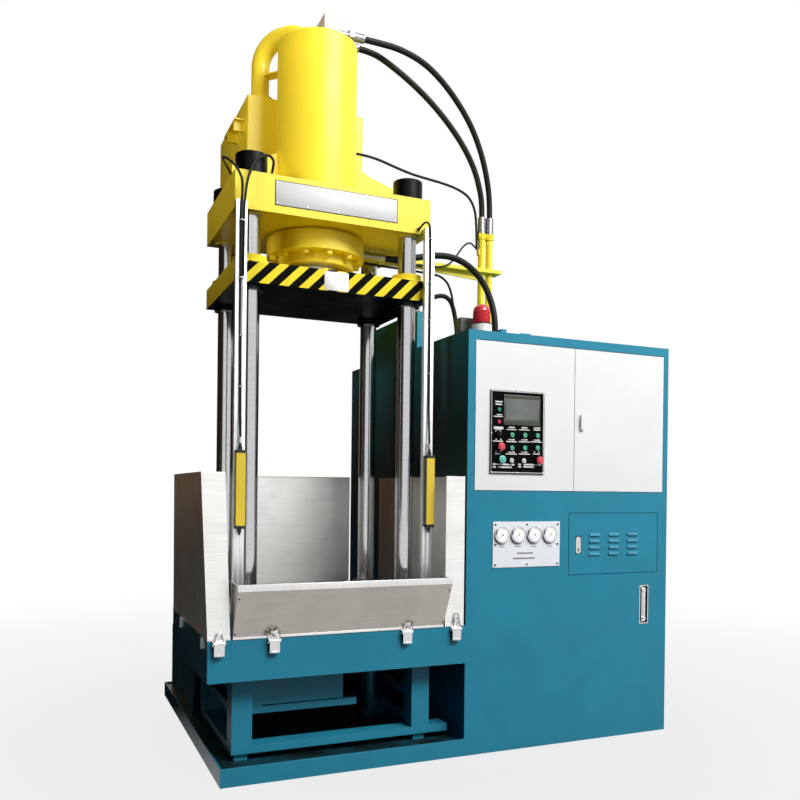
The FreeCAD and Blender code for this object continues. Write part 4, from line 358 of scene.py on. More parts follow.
def make_materials(colours, sizes):
    """Every finish of the press, by the short name that the pieces use."""
    enamel, metal, sheet = sprayed_enamel, plain_metal, brushed_sheet
    yellow, blue = colours.yellow, colours.blue
    STUFF.update({
        "yellow": enamel("yellow gloss enamel, sprayed", yellow, 0.42, 0.05, ior=1.4),
        "slide": yellow_slide(yellow, sizes),
        "blue": enamel("blue satin enamel, sprayed", blue, 0.36, 0.04, 2.5, 0.9, 1.32),
        "tray": tray_enamel(blue),
        "white": enamel("white gloss enamel, sprayed", colours.white, 0.22, 0.3, 3.0, 0.97),
        "chrome": metal("hard chrome plate, ground", "#C9CACB", 0.12, 2.0, 0.02),
        "bright": metal("bright chrome plate, polished", "#D6D7D8", 0.1, 3.0, 0.02),
        "steel": metal("machined steel, turned", "#A9AAA8", 0.3),
        "zinc": metal("zinc plate, dull", "#9C9D9A", 0.34, 2.0),
        "cast": enamel("aluminium paint, sprayed", "#B9BAB8", 0.45, 0.0, 1.5),
        "black": metal("blackened steel, oxide", "#1B1C1C", 0.36),
        "sheet": sheet("stainless sheet, brushed across", "#EEEDEA", 0.37, "x", rumple_mm=3.0),
        "pillar": sheet("stainless edge, brushed bright", "#E6E6E4", 0.3, "z"),
        "post": sheet("aluminium section, extruded", "#F0F1F1", 0.42, "z", 1.0),
        "label": enamel("anodised plate, printed", colours.plate, 0.35, 0.1, 1.5, 0.97),
        "curtain": enamel("yellow powder coat", colours.curtain, 0.35, 0.1, 1.2),
        "plastic": moulded("black plastic, moulded", "#131414", 0.35),
        "panel": moulded("black film over steel, printed", "#060607", 0.4, 0.8, 0.05, 1.12),
        "device": moulded("grey plastic, moulded", colours.device, 0.45),
        "white_plastic": moulded("white plastic, moulded", "#ECECEA", 0.35),
        "green": moulded("mint plastic, moulded", colours.green, 0.3),
        "turquoise": moulded("turquoise plastic, moulded", "#6FCDBE", 0.3),
        "deep_green": moulded("green plastic, moulded", "#1E8E62", 0.3),
        "red": moulded("red plastic, moulded", colours.stop_red, 0.3),
        "signal_red": moulded("red plastic, lens", "#C8143C", 0.2),
        "grey_mark": moulded("grey plastic, moulded", "#8E9090", 0.35),
        "olive": moulded("olive-black plastic, moulded", "#3A3D33", 0.4),
        "print": enamel("white ink, screen-printed", "#E9EAE8", 0.5, 0.0, 0.8, 0.9),
        "ink": enamel("black ink, screen-printed", "#151616", 0.5, 0.0, 0.8, 0.9),
        "dial": enamel("white enamel, dial face", "#F0F0EC", 0.4, 0.0, 1.0, 0.97),
        "sticker": enamel("white vinyl film", "#F2F2F1", 0.35, 0.1, 1.5, 0.97),
        "anodised": sheet("aluminium plate, brushed", "#AEAFAE", 0.6, "x", 0.8, 90),
        "dull_sheet": grimy_sheet(),
        # the bails' spring wire: a dark brown-grey steel
        "wire": metal("spring wire, dark brown-grey", "#6B6254", 0.4, 1.5),
        "braid": metal("steel braid, tinned", "#8E8F8D", 0.35, 2.5, 0.3),
        "rubber": hose_rubber(),
        "lamp": lamp_plastic(colours.red),
        "glass": clear_glass(),
        "screen": screen_glass(),
        "floor": floor_finish(),
    })


# the record's slots, the finishes that stand for each, and the carried-over parts in them
FINISHES = {
    "yellow_paint": {
        "yellow": "crown main_cylinder gland_ring flange_bolts prefill_tank prefill_pipe "
                  "pipe_stand slide_bolts",
        "slide": "slide_plate"},
    "blue_paint": {
        "blue": "splash_box underframe cabinet_housing louvre_door",
        "tray": "base_tray"},
    "white_paint": {"white": "door_left door_right"},
    "chrome": {
        "chrome": "columns ram",
        "bright": "pressure_gauges latch_brackets latch_lever_1 latch_lever_2 latch_lever_3 "
                  "latch_lever_4 louvre_lock level_gauge"},
    "machined_steel": {
        "steel": "bolster", "zinc": "hose_couplings", "cast": "hose_manifold", "braid": "",
        "wire": ""},
    "black_oxide": {"black": "column_nuts guide_bushes"},
    "stainless": {"sheet": "guard_left guard_right", "dull_sheet": "front_trough", "pillar": ""},
    "aluminium": {"post": "curtain_posts", "label": "gauge_plate", "anodised": ""},
    "curtain_yellow": {"curtain": "light_curtains"},
    "black_plastic": {
        "plastic": "selector_knob", "panel": "control_panel", "ink": "", "olive": "",
        "screen": ""},
    "grey_device": {"device": "terminal_box switchgear motor_pump", "grey_mark": ""},
    "white_plastic": {
        "white_plastic": "lamp_base door_latch push_button_7 push_button_8", "print": "",
        "dial": "", "sticker": "", "glass": ""},
    "green_plastic": {
        "green": "start_button push_button_1 push_button_2 push_button_3 push_button_4 "
                 "push_button_5 push_button_6",
        "turquoise": "", "deep_green": ""},
    "red_plastic": {
        "red": "stop_button_left stop_button_right", "lamp": "lamp_dome", "signal_red": ""},
    "hose_rubber": {"rubber": "hose_inner hose_outer hose_return pilot_line"},
}


# --- camera, hoses and leads
CAMERA_SPOT = Vector((-1.8982, -4.3911, 1.3083))
CAMERA_YAW, CAMERA_PITCH, CAMERA_ROLL = 23.61, -0.19, 0.67
CAMERA_LENS = 36.99
CAMERA_SHIFT_Y = 0.115


class PRESS_OT_camera(bpy.types.Operator):
    """Stand the camera where the photographer stood: in front, to the left, at chest height"""
    bl_idname = "press.camera"
    bl_label = "Camera"

    def execute(self, context):
        data = bpy.data.cameras.new("photo_camera")
        data.lens = CAMERA_LENS
        data.shift_y = CAMERA_SHIFT_Y
        data.clip_end = 200
        camera = bpy.data.objects.new("photo_camera", data)
        context.scene.collection.objects.link(camera)
        turn = (Matrix.Rotation(math.radians(-CAMERA_YAW), 4, "Z")
                @ Matrix.Rotation(math.radians(90 + CAMERA_PITCH), 4, "X")
                @ Matrix.Rotation(math.radians(CAMERA_ROLL), 4, "Z"))
        camera.matrix_world = Matrix.Translation(CAMERA_SPOT) @ turn
        context.scene.camera = camera
        return {"FINISHED"}


# a cord: its diameter, its length and its points, all in mm; these four stand for CAD nodes
HOSES = {
    "hose_outer": (32, 1330, (
        (-380, -380, 3646), (-300, -380, 3646), (-165, -356, 3656), (-15, -330, 3632),
        (110, -305, 3570), (225, -282, 3480), (325, -262, 3370), (400, -246, 3235),
        (447, -234, 3090), (469, -223, 2975), (469, -223, 2878))),
    "hose_inner": (32, 1198, (
        (-380, -292, 3640), (-295, -292, 3640), (-180, -285, 3595), (-50, -275, 3530),
        (75, -265, 3450), (190, -255, 3355), (290, -245, 3250), (365, -236, 3135),
        (406, -228, 3015), (418, -223, 2945), (418, -223, 2878))),
    "hose_return": (34, 982, (
        (-236, -337, 2535), (-150, -337, 2535), (-25, -345, 2568), (100, -362, 2590),
        (195, -385, 2570), (265, -422, 2510), (305, -470, 2425), (324, -515, 2320),
        (330, -545, 2215), (330, -545, 2100))),
    "pilot_line": (14, 1033, (
        (-389, -301, 3080), (-330, -301, 3080), (-255, -300, 3071), (-165, -296, 3050),
        (-60, -285, 3032), (50, -268, 3028), (150, -252, 3026), (250, -240, 3014),
        (330, -230, 2985), (372, -225, 2920), (382, -223, 2840), (386, -223, 2765),
        (386, -223, 2695))),
}
LOWER_HOSES = {
    "drain_hose": (13, 954, (
        (-366, -223, 2530), (-330, -223, 2531), (-200, -223, 2527), (-93, -223, 2526),
        (110, -223, 2519), (160, -223, 2512), (205, -223, 2480), (231, -223, 2415),
        (243, -223, 2330), (262, -223, 2230), (266, -223, 2170), (266, -223, 2112))),
    "charge_hose": (26, 572, (
        (56, -123, 2312), (56, -123, 2345), (84, -123, 2382), (160, -123, 2414),
        (211, -123, 2432), (256, -123, 2424), (288, -123, 2383), (308, -123, 2298),
        (319, -123, 2212), (320, -123, 2120))),
    "sensor_cable": (10, 811, (
        (-349, -263, 2546), (-300, -263, 2547), (-160, -263, 2545), (-14, -265, 2545),
        (133, -272, 2545), (208, -272, 2585), (270, -268, 2682), (322, -256, 2718),
        (358, -243, 2705), (385, -230, 2690))),
}
LEADS = {
    "curtain_lead_left": (12, 1628, (
        (-1060, -430, 2760), (-1066, -445, 2790), (-1100, -500, 2812), (-1142, -590, 2812),
        (-1162, -665, 2800), (-1150, -715, 2776), (-1113, -731, 2742), (-1086, -731, 2695),
        (-1083, -731, 2640), (-1088, -730, 2560), (-1089, -730, 2350), (-1086, -730, 2000),
        (-1084, -730, 1700), (-1084, -738, 1580), (-1084, -742, 1502))),
    "valve_lead_left": (12, 721, (
        (-932, -655, 2762), (-926, -657, 2790), (-924, -664, 2822), (-948, -674, 2838),
        (-985, -686, 2826), (-1020, -698, 2790), (-1044, -712, 2740), (-1060, -722, 2690),
        (-1071, -728, 2620), (-1075, -729, 2520), (-1076, -729, 2390), (-1076, -729, 2258))),
    "curtain_lead_right": (10, 1190, (
        (-192, -686, 2600), (-192, -706, 2602), (-189, -722, 2612), (-172, -728, 2626),
        (-156, -730, 2616), (-149, -730, 2580), (-148, -730, 2500), (-148, -730, 2250),
        (-148, -730, 1950), (-148, -730, 1700), (-148, -738, 1580), (-148, -742, 1502))),
}


def smooth_curve(name, points, diameter, stuff):
    """A round line near chosen points, thickened to its diameter."""
    data = bpy.data.curves.new(name, "CURVE")
    data.dimensions = "3D"
    spline = data.splines.new("NURBS")
    spline.points.add(len(points) - 1)
    for point, spot in zip(spline.points, points):
        point.co = (*spot, 1)
    spline.order_u = 3
    spline.use_endpoint_u = True
    data.resolution_u = 12
    data.bevel_depth = diameter / 2
    data.bevel_resolution = 5
    data.use_fill_caps = True
    return placed(name, data, stuff, "frame")


def placed(name, data, stuff, body):
    """An object that wears a finish and rides on a body."""
    data.materials.append(STUFF[stuff])
    item = bpy.data.objects.new(name, data)
    bpy.context.scene.collection.objects.link(item)
    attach(item, body)
    return item


def hung_cord(name, diameter, points):
    """A hose or cable that hangs between its two fittings."""
    item = smooth_curve(name, points, diameter * MM, "rubber")
    return item


def hung_cords(table):
    """The hoses or cables of a table, which have no node of their own."""
    for name, (diameter, long, points) in table.items():
        hung_cord(name, diameter, [mm(*spot) for spot in points])


class PRESS_OT_hoses(bpy.types.Operator):
    """Hang the pressure hoses, the return hose and the pilot line"""
    bl_idname = "press.hoses"
    bl_label = "Hoses"

    def execute(self, context):
        for node, (diameter, long, points) in HOSES.items():
            spots = [[number / 1000 for number in point] for point in points]
            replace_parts(hung_cord(node + "_rubber", diameter, spots), node)
        return {"FINISHED"}


# --- stage
# what bright metal mirrors at each bearing, in degrees from the right: a lit shop in front and
# behind, a dark one to the left, and a window or two to the right
MIRRORED = ((-180, "#2A221A"), (-146, "#3A3127"), (-134, "#FFFFFF"), (-26, "#FFFFFF"),
            (-16, "#A3A09B"), (-4, "#8A8782"), (10, "#F4F4F2"), (28, "#F4F4F2"),
            (46, "#ABA9A5"), (60, "#FFFFFF"), (82, "#FFFFFF"), (91, "#4A3722"),
            (99, "#7A5734"), (108, "#4A3420"), (122, "#2A221A"))
# soft lamps: (name, spot, aimed at, width, height, watts)
AREA_LAMPS = (("key", (2.5, -6.0, 7.0), (0, 0, 1.6), 5, 3, 780),
              ("side", (6.5, -3.5, 3.5), (0, 0, 1.5), 4, 4, 80),
              ("top", (2.6, 0.5, 8.0), (1.6, 0, 1.0), 4, 4, 100),
              ("rear", (2.5, 6.5, 4.5), (0, 0, 1.8), 4, 4, 110))


def studio_lamp(kind, name, spot, target, power, **settings):
    """A lamp aimed at a point, that bright metal doesn't mirror."""
    data = bpy.data.lights.new(name, kind)
    data.energy = power
    for key, value in settings.items():
        setattr(data, key, value)
    lamp = bpy.data.objects.new(name, data)
    bpy.context.scene.collection.objects.link(lamp)
    aim = (Vector(target) - Vector(spot)).to_track_quat("-Z", "Y")
    lamp.matrix_world = Matrix.Translation(spot) @ aim.to_matrix().to_4x4()
    lamp.visible_glossy = False
    return lamp


def studio_world():
    """White to the camera and through glass, the shop in reflections, and otherwise an even
    light that fades towards the left."""
    world = bpy.data.worlds.new("studio")
    bpy.context.scene.world = world
    world.use_nodes = True
    tree = world.node_tree
    tree.nodes.clear()
    path = add(tree, "LightPath").outputs
    way = add(tree, "TexCoord").outputs["Generated"]
    parts = add(tree, "SeparateXYZ", {"Vector": way}).outputs
    bearing = add(tree, "Math", {"operation": "ARCTAN2", 0: parts["Y"], 1: parts["X"]})
    turn = add(tree, "MapRange", {"From Min": -math.pi, "From Max": math.pi, "Value": bearing})
    ramp = add(tree, "ValToRGB", {"Fac": turn})
    stops = ramp.color_ramp.elements
    for degrees, code in MIRRORED[1:-1]:
        stops.new((degrees + 180) / 360).color = shaded(code)
    for stop, (degrees, code) in ((stops[0], MIRRORED[0]), (stops[-1], MIRRORED[-1])):
        stop.position = (degrees + 180) / 360
        stop.color = shaded(code)
    overhead = add(tree, "MapRange", {"From Min": 0.6, "From Max": 0.85, "Value": parts["Z"]})
    mirrored = add(tree, "Mix", {"data_type": "RGBA", 0: overhead, 6: ramp, 7: WHITE})
    fade = add(tree, "MapRange", {"From Max": 0.55, "To Max": 0.9, "Value": parts["X"]})
    plain = add(tree, "Background", {"Color": WHITE, "Strength": fade})
    seen = add(tree, "Background", {"Color": WHITE})
    shine = add(tree, "Background", {"Color": mirrored})
    first = add(tree, "MixShader", {0: path["Is Glossy Ray"], 1: plain, 2: shine})
    direct = add(tree, "Math", {"operation": "MAXIMUM", 0: path["Is Camera Ray"],
                                1: path["Is Transmission Ray"]})
    second = add(tree, "MixShader", {0: direct, 1: first, 2: seen})
    add(tree, "OutputWorld", {"Surface": second})


class PRESS_OT_stage(bpy.types.Operator):
    """Lay a pale floor and light it softly"""
    bl_idname = "press.stage"
    bl_label = "Stage"

    def execute(self, context):
        sheet = bmesh.new()
        bmesh.ops.create_grid(sheet, x_segments=1, y_segments=1, size=30)
        data = bpy.data.meshes.new("floor")
        sheet.to_mesh(data)
        sheet.free()
        data.materials.append(STUFF["floor"])
        floor = bpy.data.objects.new("floor", data)
        context.scene.collection.objects.link(floor)
        for name, spot, target, wide, tall, power in AREA_LAMPS:
            lamp = studio_lamp("AREA", name, spot, target, power, shape="RECTANGLE", size=wide,
                               size_y=tall)
            lamp.visible_glossy = name == "key"
        studio_lamp("SPOT", "crown_spot", (-4.5, -2.8, 3.38), (-0.7, -0.4, 3.44), 760,
                    spot_size=math.radians(26), spot_blend=0.3, color=(1.0, 0.88, 0.72),
                    shadow_soft_size=1.0)
        studio_world()
        context.scene.view_settings.view_transform = "Standard"
        context.scene.cycles.caustics_reflective = False
        return {"FINISHED"}


# --- mesh pieces
def cuboid(mesh, low, high):
    """A plain box between two corners, as its vertices and its edges."""
    low, high = Vector(low), Vector(high)
    made = bmesh.ops.create_cube(mesh, size=1.0)["verts"]
    bmesh.ops.scale(mesh, vec=high - low, verts=made)
    bmesh.ops.translate(mesh, vec=(low + high) / 2, verts=made)
    return made, list({edge for vert in made for edge in vert.link_edges})


def softened(mesh, edges, by, segments=2):
    """Round some edges."""
    bmesh.ops.bevel(mesh, geom=edges, offset=by, affect="EDGES", segments=segments,
                    profile=0.5, material=-1)


def block(mesh, low, high, round_by=0.0):
    """A box between two corners, with its edges rounded a little."""
    edges = cuboid(mesh, low, high)[1]
    if round_by:
        softened(mesh, edges, round_by)


def slab(mesh, low, high, corner, round_by):
    """A plate that faces the front, with rounded corners and softened edges."""
    upright = [e for e in cuboid(mesh, low, high)[1]
               if abs((e.verts[0].co - e.verts[1].co).normalized().y) > 0.9]
    softened(mesh, upright, corner, 8)
    face = Vector(low).y
    softened(mesh, [e for e in mesh.edges if e.is_manifold and e.calc_face_angle() > 1.2
                    and abs(e.verts[0].co.y - face) < 1e-6], round_by)


def rod(mesh, start, end, radius, sides=24, tip=None):
    """A round bar, or a cone where tip is another radius."""
    start, end = Vector(start), Vector(end)
    aim = (end - start).to_track_quat("Z", "Y").to_matrix().to_4x4()
    bmesh.ops.create_cone(mesh, cap_ends=True, segments=sides, radius1=radius,
                          radius2=radius if tip is None else tip, depth=(end - start).length,
                          matrix=Matrix.Translation((start + end) / 2) @ aim)


def spun(mesh, profile, centre, axis, sides=48):
    """A closed (radius, height) outline spun about an axis through centre."""
    centre, axis = Vector(centre), Vector(axis).normalized()
    aside = axis.orthogonal().normalized()
    verts = [mesh.verts.new(centre + aside * radius + axis * high) for radius, high in profile]
    edges = [mesh.edges.new(pair) for pair in zip(verts, verts[1:] + verts[:1])]
    bmesh.ops.spin(mesh, geom=verts + edges, cent=centre, axis=axis, angle=math.tau,
                   steps=sides, use_merge=True)


def dome(mesh, centre, axis, radius, high, sides=20):
    """A low domed head, as on a rivet or a pan-head screw."""
    spun(mesh, [(0, 0), (radius, 0), (radius * 0.9, high * 0.55), (radius * 0.55, high * 0.92),
                (0, high)], centre, axis, sides)


def bead(mesh, start, end, size):
    """A straight weld bead with its ripples, a bar that sinks half into its corner."""
    start, end = Vector(start), Vector(end)
    long = (end - start).length
    steps = max(4, round(long / (1.7 * size)))
    profile = [(0, 0)]
    for step in range(steps):
        at = long * (step + 0.5) / steps
        profile += [(size * 0.84, at - 0.35 * long / steps), (size, at)]
    spun(mesh, profile + [(0, long)], start, end - start, 8)


def hoop(mesh, centre, axis, radius, thick, sides=32):
    """A round ring, of wire or of weld."""
    turns = [turn * math.tau / 8 for turn in range(8)]
    spun(mesh, [(radius + thick * math.cos(turn), thick * math.sin(turn)) for turn in turns],
         centre, axis, sides)


def band(mesh, centre, axis, inner, outer, low, high, sides):
    """A flat ring between two radii and two heights."""
    spun(mesh, [(inner, low), (outer, low), (outer, high), (inner, high)], centre, axis, sides)


def hexagon(mesh, centre, axis, radius, high):
    """A hexagon head or nut with its corners turned off."""
    start = Vector(centre)
    axis = Vector(axis).normalized()
    rod(mesh, start, start + axis * high * 0.8, radius, 6)
    rod(mesh, start + axis * high * 0.8, start + axis * high, radius, 6, radius * 0.86)


def gland(mesh, centre, axis, radius):
    """A cable gland: a flanged hexagon, a dome nut and a lip round the cable."""
    hexagon(mesh, centre, axis, radius * 1.9, radius * 0.8)
    spun(mesh, [(radius * 1.01, radius * 0.6), (radius * 1.6, radius * 0.6),
                (radius * 1.6, radius * 1.7), (radius * 1.25, radius * 2.1),
                (radius * 1.01, radius * 2.1)], centre, axis, 32)


def piece(name, mesh, stuff, body="frame", sharp=35):
    """Turn a finished mesh into an object that rides on a body."""
    bmesh.ops.remove_doubles(mesh, verts=mesh.verts, dist=1e-6)
    bmesh.ops.recalc_face_normals(mesh, faces=mesh.faces)
    for face in mesh.faces:
        face.smooth = True
    data = bpy.data.meshes.new(name)
    mesh.to_mesh(data)
    mesh.free()
    data.set_sharp_from_angle(angle=math.radians(sharp))
    return placed(name, data, stuff, body)


class PRESS_OT_finishes(bpy.types.Operator):
    """Paint, plate and brush the carried-over parts"""
    bl_idname = "press.finishes"
    bl_label = "Finishes"

    def execute(self, context):
        for kinds in FINISHES.values():
            for stuff, nodes in kinds.items():
                for node in nodes.split():
                    slots = NODES[node].data.materials
                    slots.clear()
                    slots.append(STUFF[stuff])
        return {"FINISHED"}


# --- plates, welds and fasteners
class PRESS_OT_plates(bpy.types.Operator):
    """Rivet a bare nameplate to the crown and stick a plain label on the slide"""
    bl_idname = "press.plates"
    bl_label = "Plates"

    def execute(self, context):
        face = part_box("crown")[0].y / MM
        edge, plate, rivets, label = (bmesh.new() for _ in range(4))
        block(edge, mm(-921, face - 1.4, 2613), mm(-305, face, 2730), 0.0005)
        piece("nameplate_edge", edge, "ink")
        block(plate, mm(-917.5, face - 2.0, 2616.5), mm(-308.5, face - 1.0, 2726.5), 0.0003)
        piece("nameplate", plate, "anodised")
        for across in (-909, -765, -613, -461, -317):
            for up in (2624, 2719):
                dome(rivets, mm(across, face - 1.9, up), -ALONG, 0.004, 0.0022)
        piece("nameplate_rivets", rivets, "bright")
        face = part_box("slide_plate")[0].y / MM
        slab(label, mm(-677, face - 0.5, 2249), mm(-556, face + 0.1, 2338), 0.004, 0.0002)
        piece("slide_sticker", label, "sticker", "slide")
        return {"FINISHED"}


RISERS, RISER_ALONG = (418, 469), -223
CYLINDER_RADIUS, TANK_WIDE = 0.2035, 0.636
RIB_INNER, RIB_OUTER, RIB_HALF, RIB_TALL = 0.205, 0.433, 0.0125, 0.25
BOSS_ACROSS, BOSS_ALONG, BOSS_RADIUS = 0.398, 0.262, 0.075


class PRESS_OT_welds(bpy.types.Operator):
    """Lay the painted weld beads on the crown, the slide, the tank and the pipe stand"""
    bl_idname = "press.welds"
    bl_label = "Welds"

    def execute(self, context):
        size = context.scene.press_sizes.weld_size
        crown, bosses, stand, bed = (bmesh.new() for _ in range(4))
        low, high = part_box("main_cylinder")
        axis = (low + high) / 2
        low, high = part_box("prefill_tank")
        axis.z = deck = low.z
        hoop(crown, axis, UP, CYLINDER_RADIUS, size, 96)
        for side in (-1, 1):
            for near in (-RIB_HALF, RIB_HALF):
                inner = axis + Vector((side * RIB_INNER, near, 0))
                bead(crown, inner, axis + Vector((side * RIB_OUTER, near, 0)), size)
                bead(crown, inner + UP * 0.01, inner + UP * RIB_TALL, size)
        left = high.x - TANK_WIDE
        bead(crown, (left + 0.002, low.y, deck), (left + 0.002, high.y, deck), size)
        bead(crown, (high.x - 0.002, low.y + 0.02, deck), (high.x - 0.002, high.y, deck), size)
        for across in (left + 0.0015, high.x - 0.0015):
            for along in (low.y + 0.0015, high.y - 0.0015):
                bead(crown, (across, along, deck + 0.004), (across, along, high.z - 0.004),
                     size * 0.5)
        piece("crown_welds", crown, "yellow")
        axis.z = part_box("slide_plate")[0].z + 0.1
        for across in (-BOSS_ACROSS, BOSS_ACROSS):
            for along in (-BOSS_ALONG, BOSS_ALONG):
                hoop(bosses, axis + Vector((across, along, 0)), UP, BOSS_RADIUS, size * 0.8, 64)
        piece("slide_boss_welds", bosses, "yellow", "slide")
        for across in RISERS:
            for up in (2112, 2577, 2557):
                hoop(stand, mm(across, RISER_ALONG, up), UP, 0.02, size * 0.7, 40)
        piece("pipe_stand_welds", stand, "yellow")
        low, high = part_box("splash_box")
        for along in (low.y, high.y):
            foot = Vector((low.x + 0.0015, along + (0.0015 if along < 0 else -0.0015),
                           low.z + 0.004))
            bead(bed, foot, (foot.x, foot.y, high.z - 0.004), size * 0.4)
        for across in (-1106, -1012, -220, -126):
            bead(bed, mm(across, -723, 589), mm(across + 0.1, -723, 460), size * 0.5)
        piece("bed_welds", bed, "blue")
        return {"FINISHED"}


def corners(low, high, inset):
    """The four corners of a box seen from above, set in a little."""
    return [(across, along) for across in (low.x + inset, high.x - inset)
            for along in (low.y + inset, high.y - inset)]


class PRESS_OT_fasteners(bpy.types.Operator):
    """Fit the small screws of the guard, the trough, the manifold and the terminal box"""
    bl_idname = "press.fasteners"
    bl_label = "Fasteners"

    def execute(self, context):
        guard, manifold, box = (bmesh.new() for _ in range(3))
        low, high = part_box("guard_left")
        for lean, up in ((0.0030, 1117), (0.0042, 1312)):
            dome(guard, (low.x + 0.035 - lean, high.y - 0.03, up * MM), -ACROSS, 0.006, 0.003)
        for across in (-1118, -110):
            for up in (668, 830):
                back = 95 * (up - 648) / 214  # the trough leans out towards its top
                dome(guard, mm(across, -823 - back, up), (0, -0.914, 0.406), 0.0045, 0.0024)
        piece("guard_screws", guard, "black")
        low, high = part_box("hose_manifold")
        for across, along in corners(low, high, 0.014):
            rod(manifold, (across, along, high.z), (across, along, high.z + 0.0042), 0.008)
        spun(manifold, [(0, 0), (0.017, 0), (0.017, 0.003), (0.007, 0.003), (0.007, 0.0045),
                        (0, 0.0045)],
             ((low.x + high.x) / 2, low.y + 0.00001, high.z - 0.05), -ALONG, 32)
        piece("manifold_screws", manifold, "zinc")
        low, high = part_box("terminal_box")
        for across, along in corners(low, high, 0.009):
            dome(box, (across, along, high.z), UP, 0.004, 0.002)
        piece("terminal_box_screws", box, "zinc")
        return {"FINISHED"}


# --- guard trims and latches
LIP = 0.0005
GUARD_FACE, TROUGH_FACE = -823, -832.5  # the sheets that the strikes sit on, in mm
SPRING = (-838, 628)  # along and up, in mm
# each latch: where it sits, and how far its wire bail hangs aside and stands up, in mm
LATCHES = {1: (-1187, 0, 0), 2: (-942, -26, -4), 3: (-298, 12, -5), 4: (-36, 3, 34)}


class PRESS_OT_guard_trims(bpy.types.Operator):
    """Add the bright folded lips of the trough and the guard's lower hem"""
    bl_idname = "press.guard_trims"
    bl_label = "Guard trims"

    def execute(self, context):
        lips, hems = bmesh.new(), bmesh.new()
        low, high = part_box("front_trough")
        left, right, top = low.x - 0.001, high.x + 0.001, high.z - 0.001
        rim = high.z + 0.0014
        for near, far in (
                ((left, low.y - 0.0012, high.z - 0.028), (right, low.y + LIP, high.z + 0.0008)),
                ((left, low.y - 0.001, top), (right, low.y + 0.009, rim)),
                ((left, low.y, top), (low.x + 0.004, high.y, rim)),
                ((high.x - 0.004, low.y, top), (right, high.y, rim)),
                ((low.x, -0.8265, low.z), (high.x, -0.8225, low.z + 0.011))):
            block(lips, near, far, LIP)
        piece("trough_lips", lips, "pillar")
        low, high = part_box("splash_box")
        top = high.z + 0.012
        for near, far in (((low.x - 0.0018, low.y, high.z), (low.x + LIP, high.y - 0.001, top)),
                          ((low.x - 0.001, low.y - 0.0015, high.z),
                           (low.x + 0.099, low.y + LIP, top)),
                          (mm(-93, -824.5, 643), mm(10, -822.5, 655))):
            block(hems, near, far, LIP)
        piece("guard_hems", hems, "pillar")
        return {"FINISHED"}


class PRESS_OT_latch_bails(bpy.types.Operator):
    """Hook the sprung wire bails of the four latches on their strikes"""
    bl_idname = "press.latch_bails"
    bl_label = "Latch bails"

    def execute(self, context):
        for number, (across, lean, rise) in LATCHES.items():
            deep = GUARD_FACE if number in (1, 4) else TROUGH_FACE
            strike, spring = bmesh.new(), bmesh.new()
            slab(strike, mm(across - 16, deep - 3, 655), mm(across + 16, deep + 1.5, 683), 0.005,
                 0.0006)
            block(strike, mm(across - 9, deep - 10, 664), mm(across + 9, deep - 2, 668), 0.001)
            block(strike, mm(across - 9, deep - 12, 664), mm(across + 9, deep - 9, 676), 0.001)
            for aside in (-11, 11):
                dome(strike, mm(across + aside, deep - 3, 677), -ALONG, 0.0032, 0.0018, 12)
            piece("latch_strike_%d" % number, strike, "bright")
            hook = deep - 6
            for name, share, thick in (("bail", 1.0, 3.4), ("catch", -0.45, 2.6)):
                tilt, top = lean * share, 668 + rise * max(share, 0.35)
                # half of the loop, as (aside, swing, along, up); the other half mirrors it
                half = [(19, 0, *SPRING), (19, 0.3, -842, 640),
                        (16, 0.7, hook - 2, 655 + (top - 668) * 0.5), (12, 1, hook, top),
                        (6, 1, hook, top + 2.5)]
                wire = [mm(across + side * aside + tilt * swing, along, up)
                        for side, rows in ((-1, half), (1, half[::-1]))
                        for aside, swing, along, up in rows]
                smooth_curve("latch_%s_%d" % (name, number), wire, thick * MM, "wire")
            for aside in (-19, 19):
                for turn in range(4):
                    hoop(spring, mm(across + aside + (turn - 1.5) * 2.4, *SPRING), ACROSS,
                         0.0062, 0.0012, 20)
            piece("latch_spring_%d" % number, spring, "bright")
        return {"FINISHED"}


# --- control panel, in mm from its lower left corner
PANEL_LEFT, PANEL_FACE, PANEL_LOW = 146, -828, 1394
# blank printed strips: middle across, half width, middle up, half height
STRIPS = (
    (46, 20, 357, 3.5), (46, 19, 344, 3), (50, 15, 292, 3), (45, 28, 283.5, 2.5),
    (46, 27, 226, 7), (33, 4, 169, 3), (60, 4, 169, 3), (44, 29, 160, 2.5), (33, 3.5, 108, 3),
    (60, 3, 110, 3), (42, 14, 97, 2.5), (122, 18, 232, 3.2), (121, 29, 221, 2.5),
    (197, 18, 233, 3.2), (195, 31, 222, 2.5), (271, 20, 235, 3.2), (271, 20, 224.5, 2.8),
    (122, 18, 170, 3.2), (121, 30, 160, 2.5), (197, 18, 172, 3.2), (196, 32, 161.5, 2.5),
    (271, 18, 173, 3.2), (268, 34, 163.5, 2.5), (122, 19, 108, 3.2), (121, 32, 98, 2.5),
    (197, 18, 110, 3.2), (196, 34, 100, 2.5), (257, 4, 113, 3), (284, 4, 113, 3),
    (270, 21, 102, 2.5), (77, 62, 45, 4), (24, 9, 31, 3.5), (85, 40, 31, 3.5), (171, 9, 47, 4),
    (244, 54, 47, 4), (172, 9, 35, 3.5), (224, 31, 35, 3.5),
)
BUTTONS = ((121, 193), (196, 194), (271, 195), (121, 128), (196, 130), (271, 132), (119, 65),
           (191, 65))
SELECTOR, START = (45, 198), (60, 69)
STOPS = {"left": (54, 132), "right": (281, 69)}


def on_panel(across, up, out=0.0):
    """A spot on the control panel."""
    return mm(PANEL_LEFT + across, PANEL_FACE - out, PANEL_LOW + up)


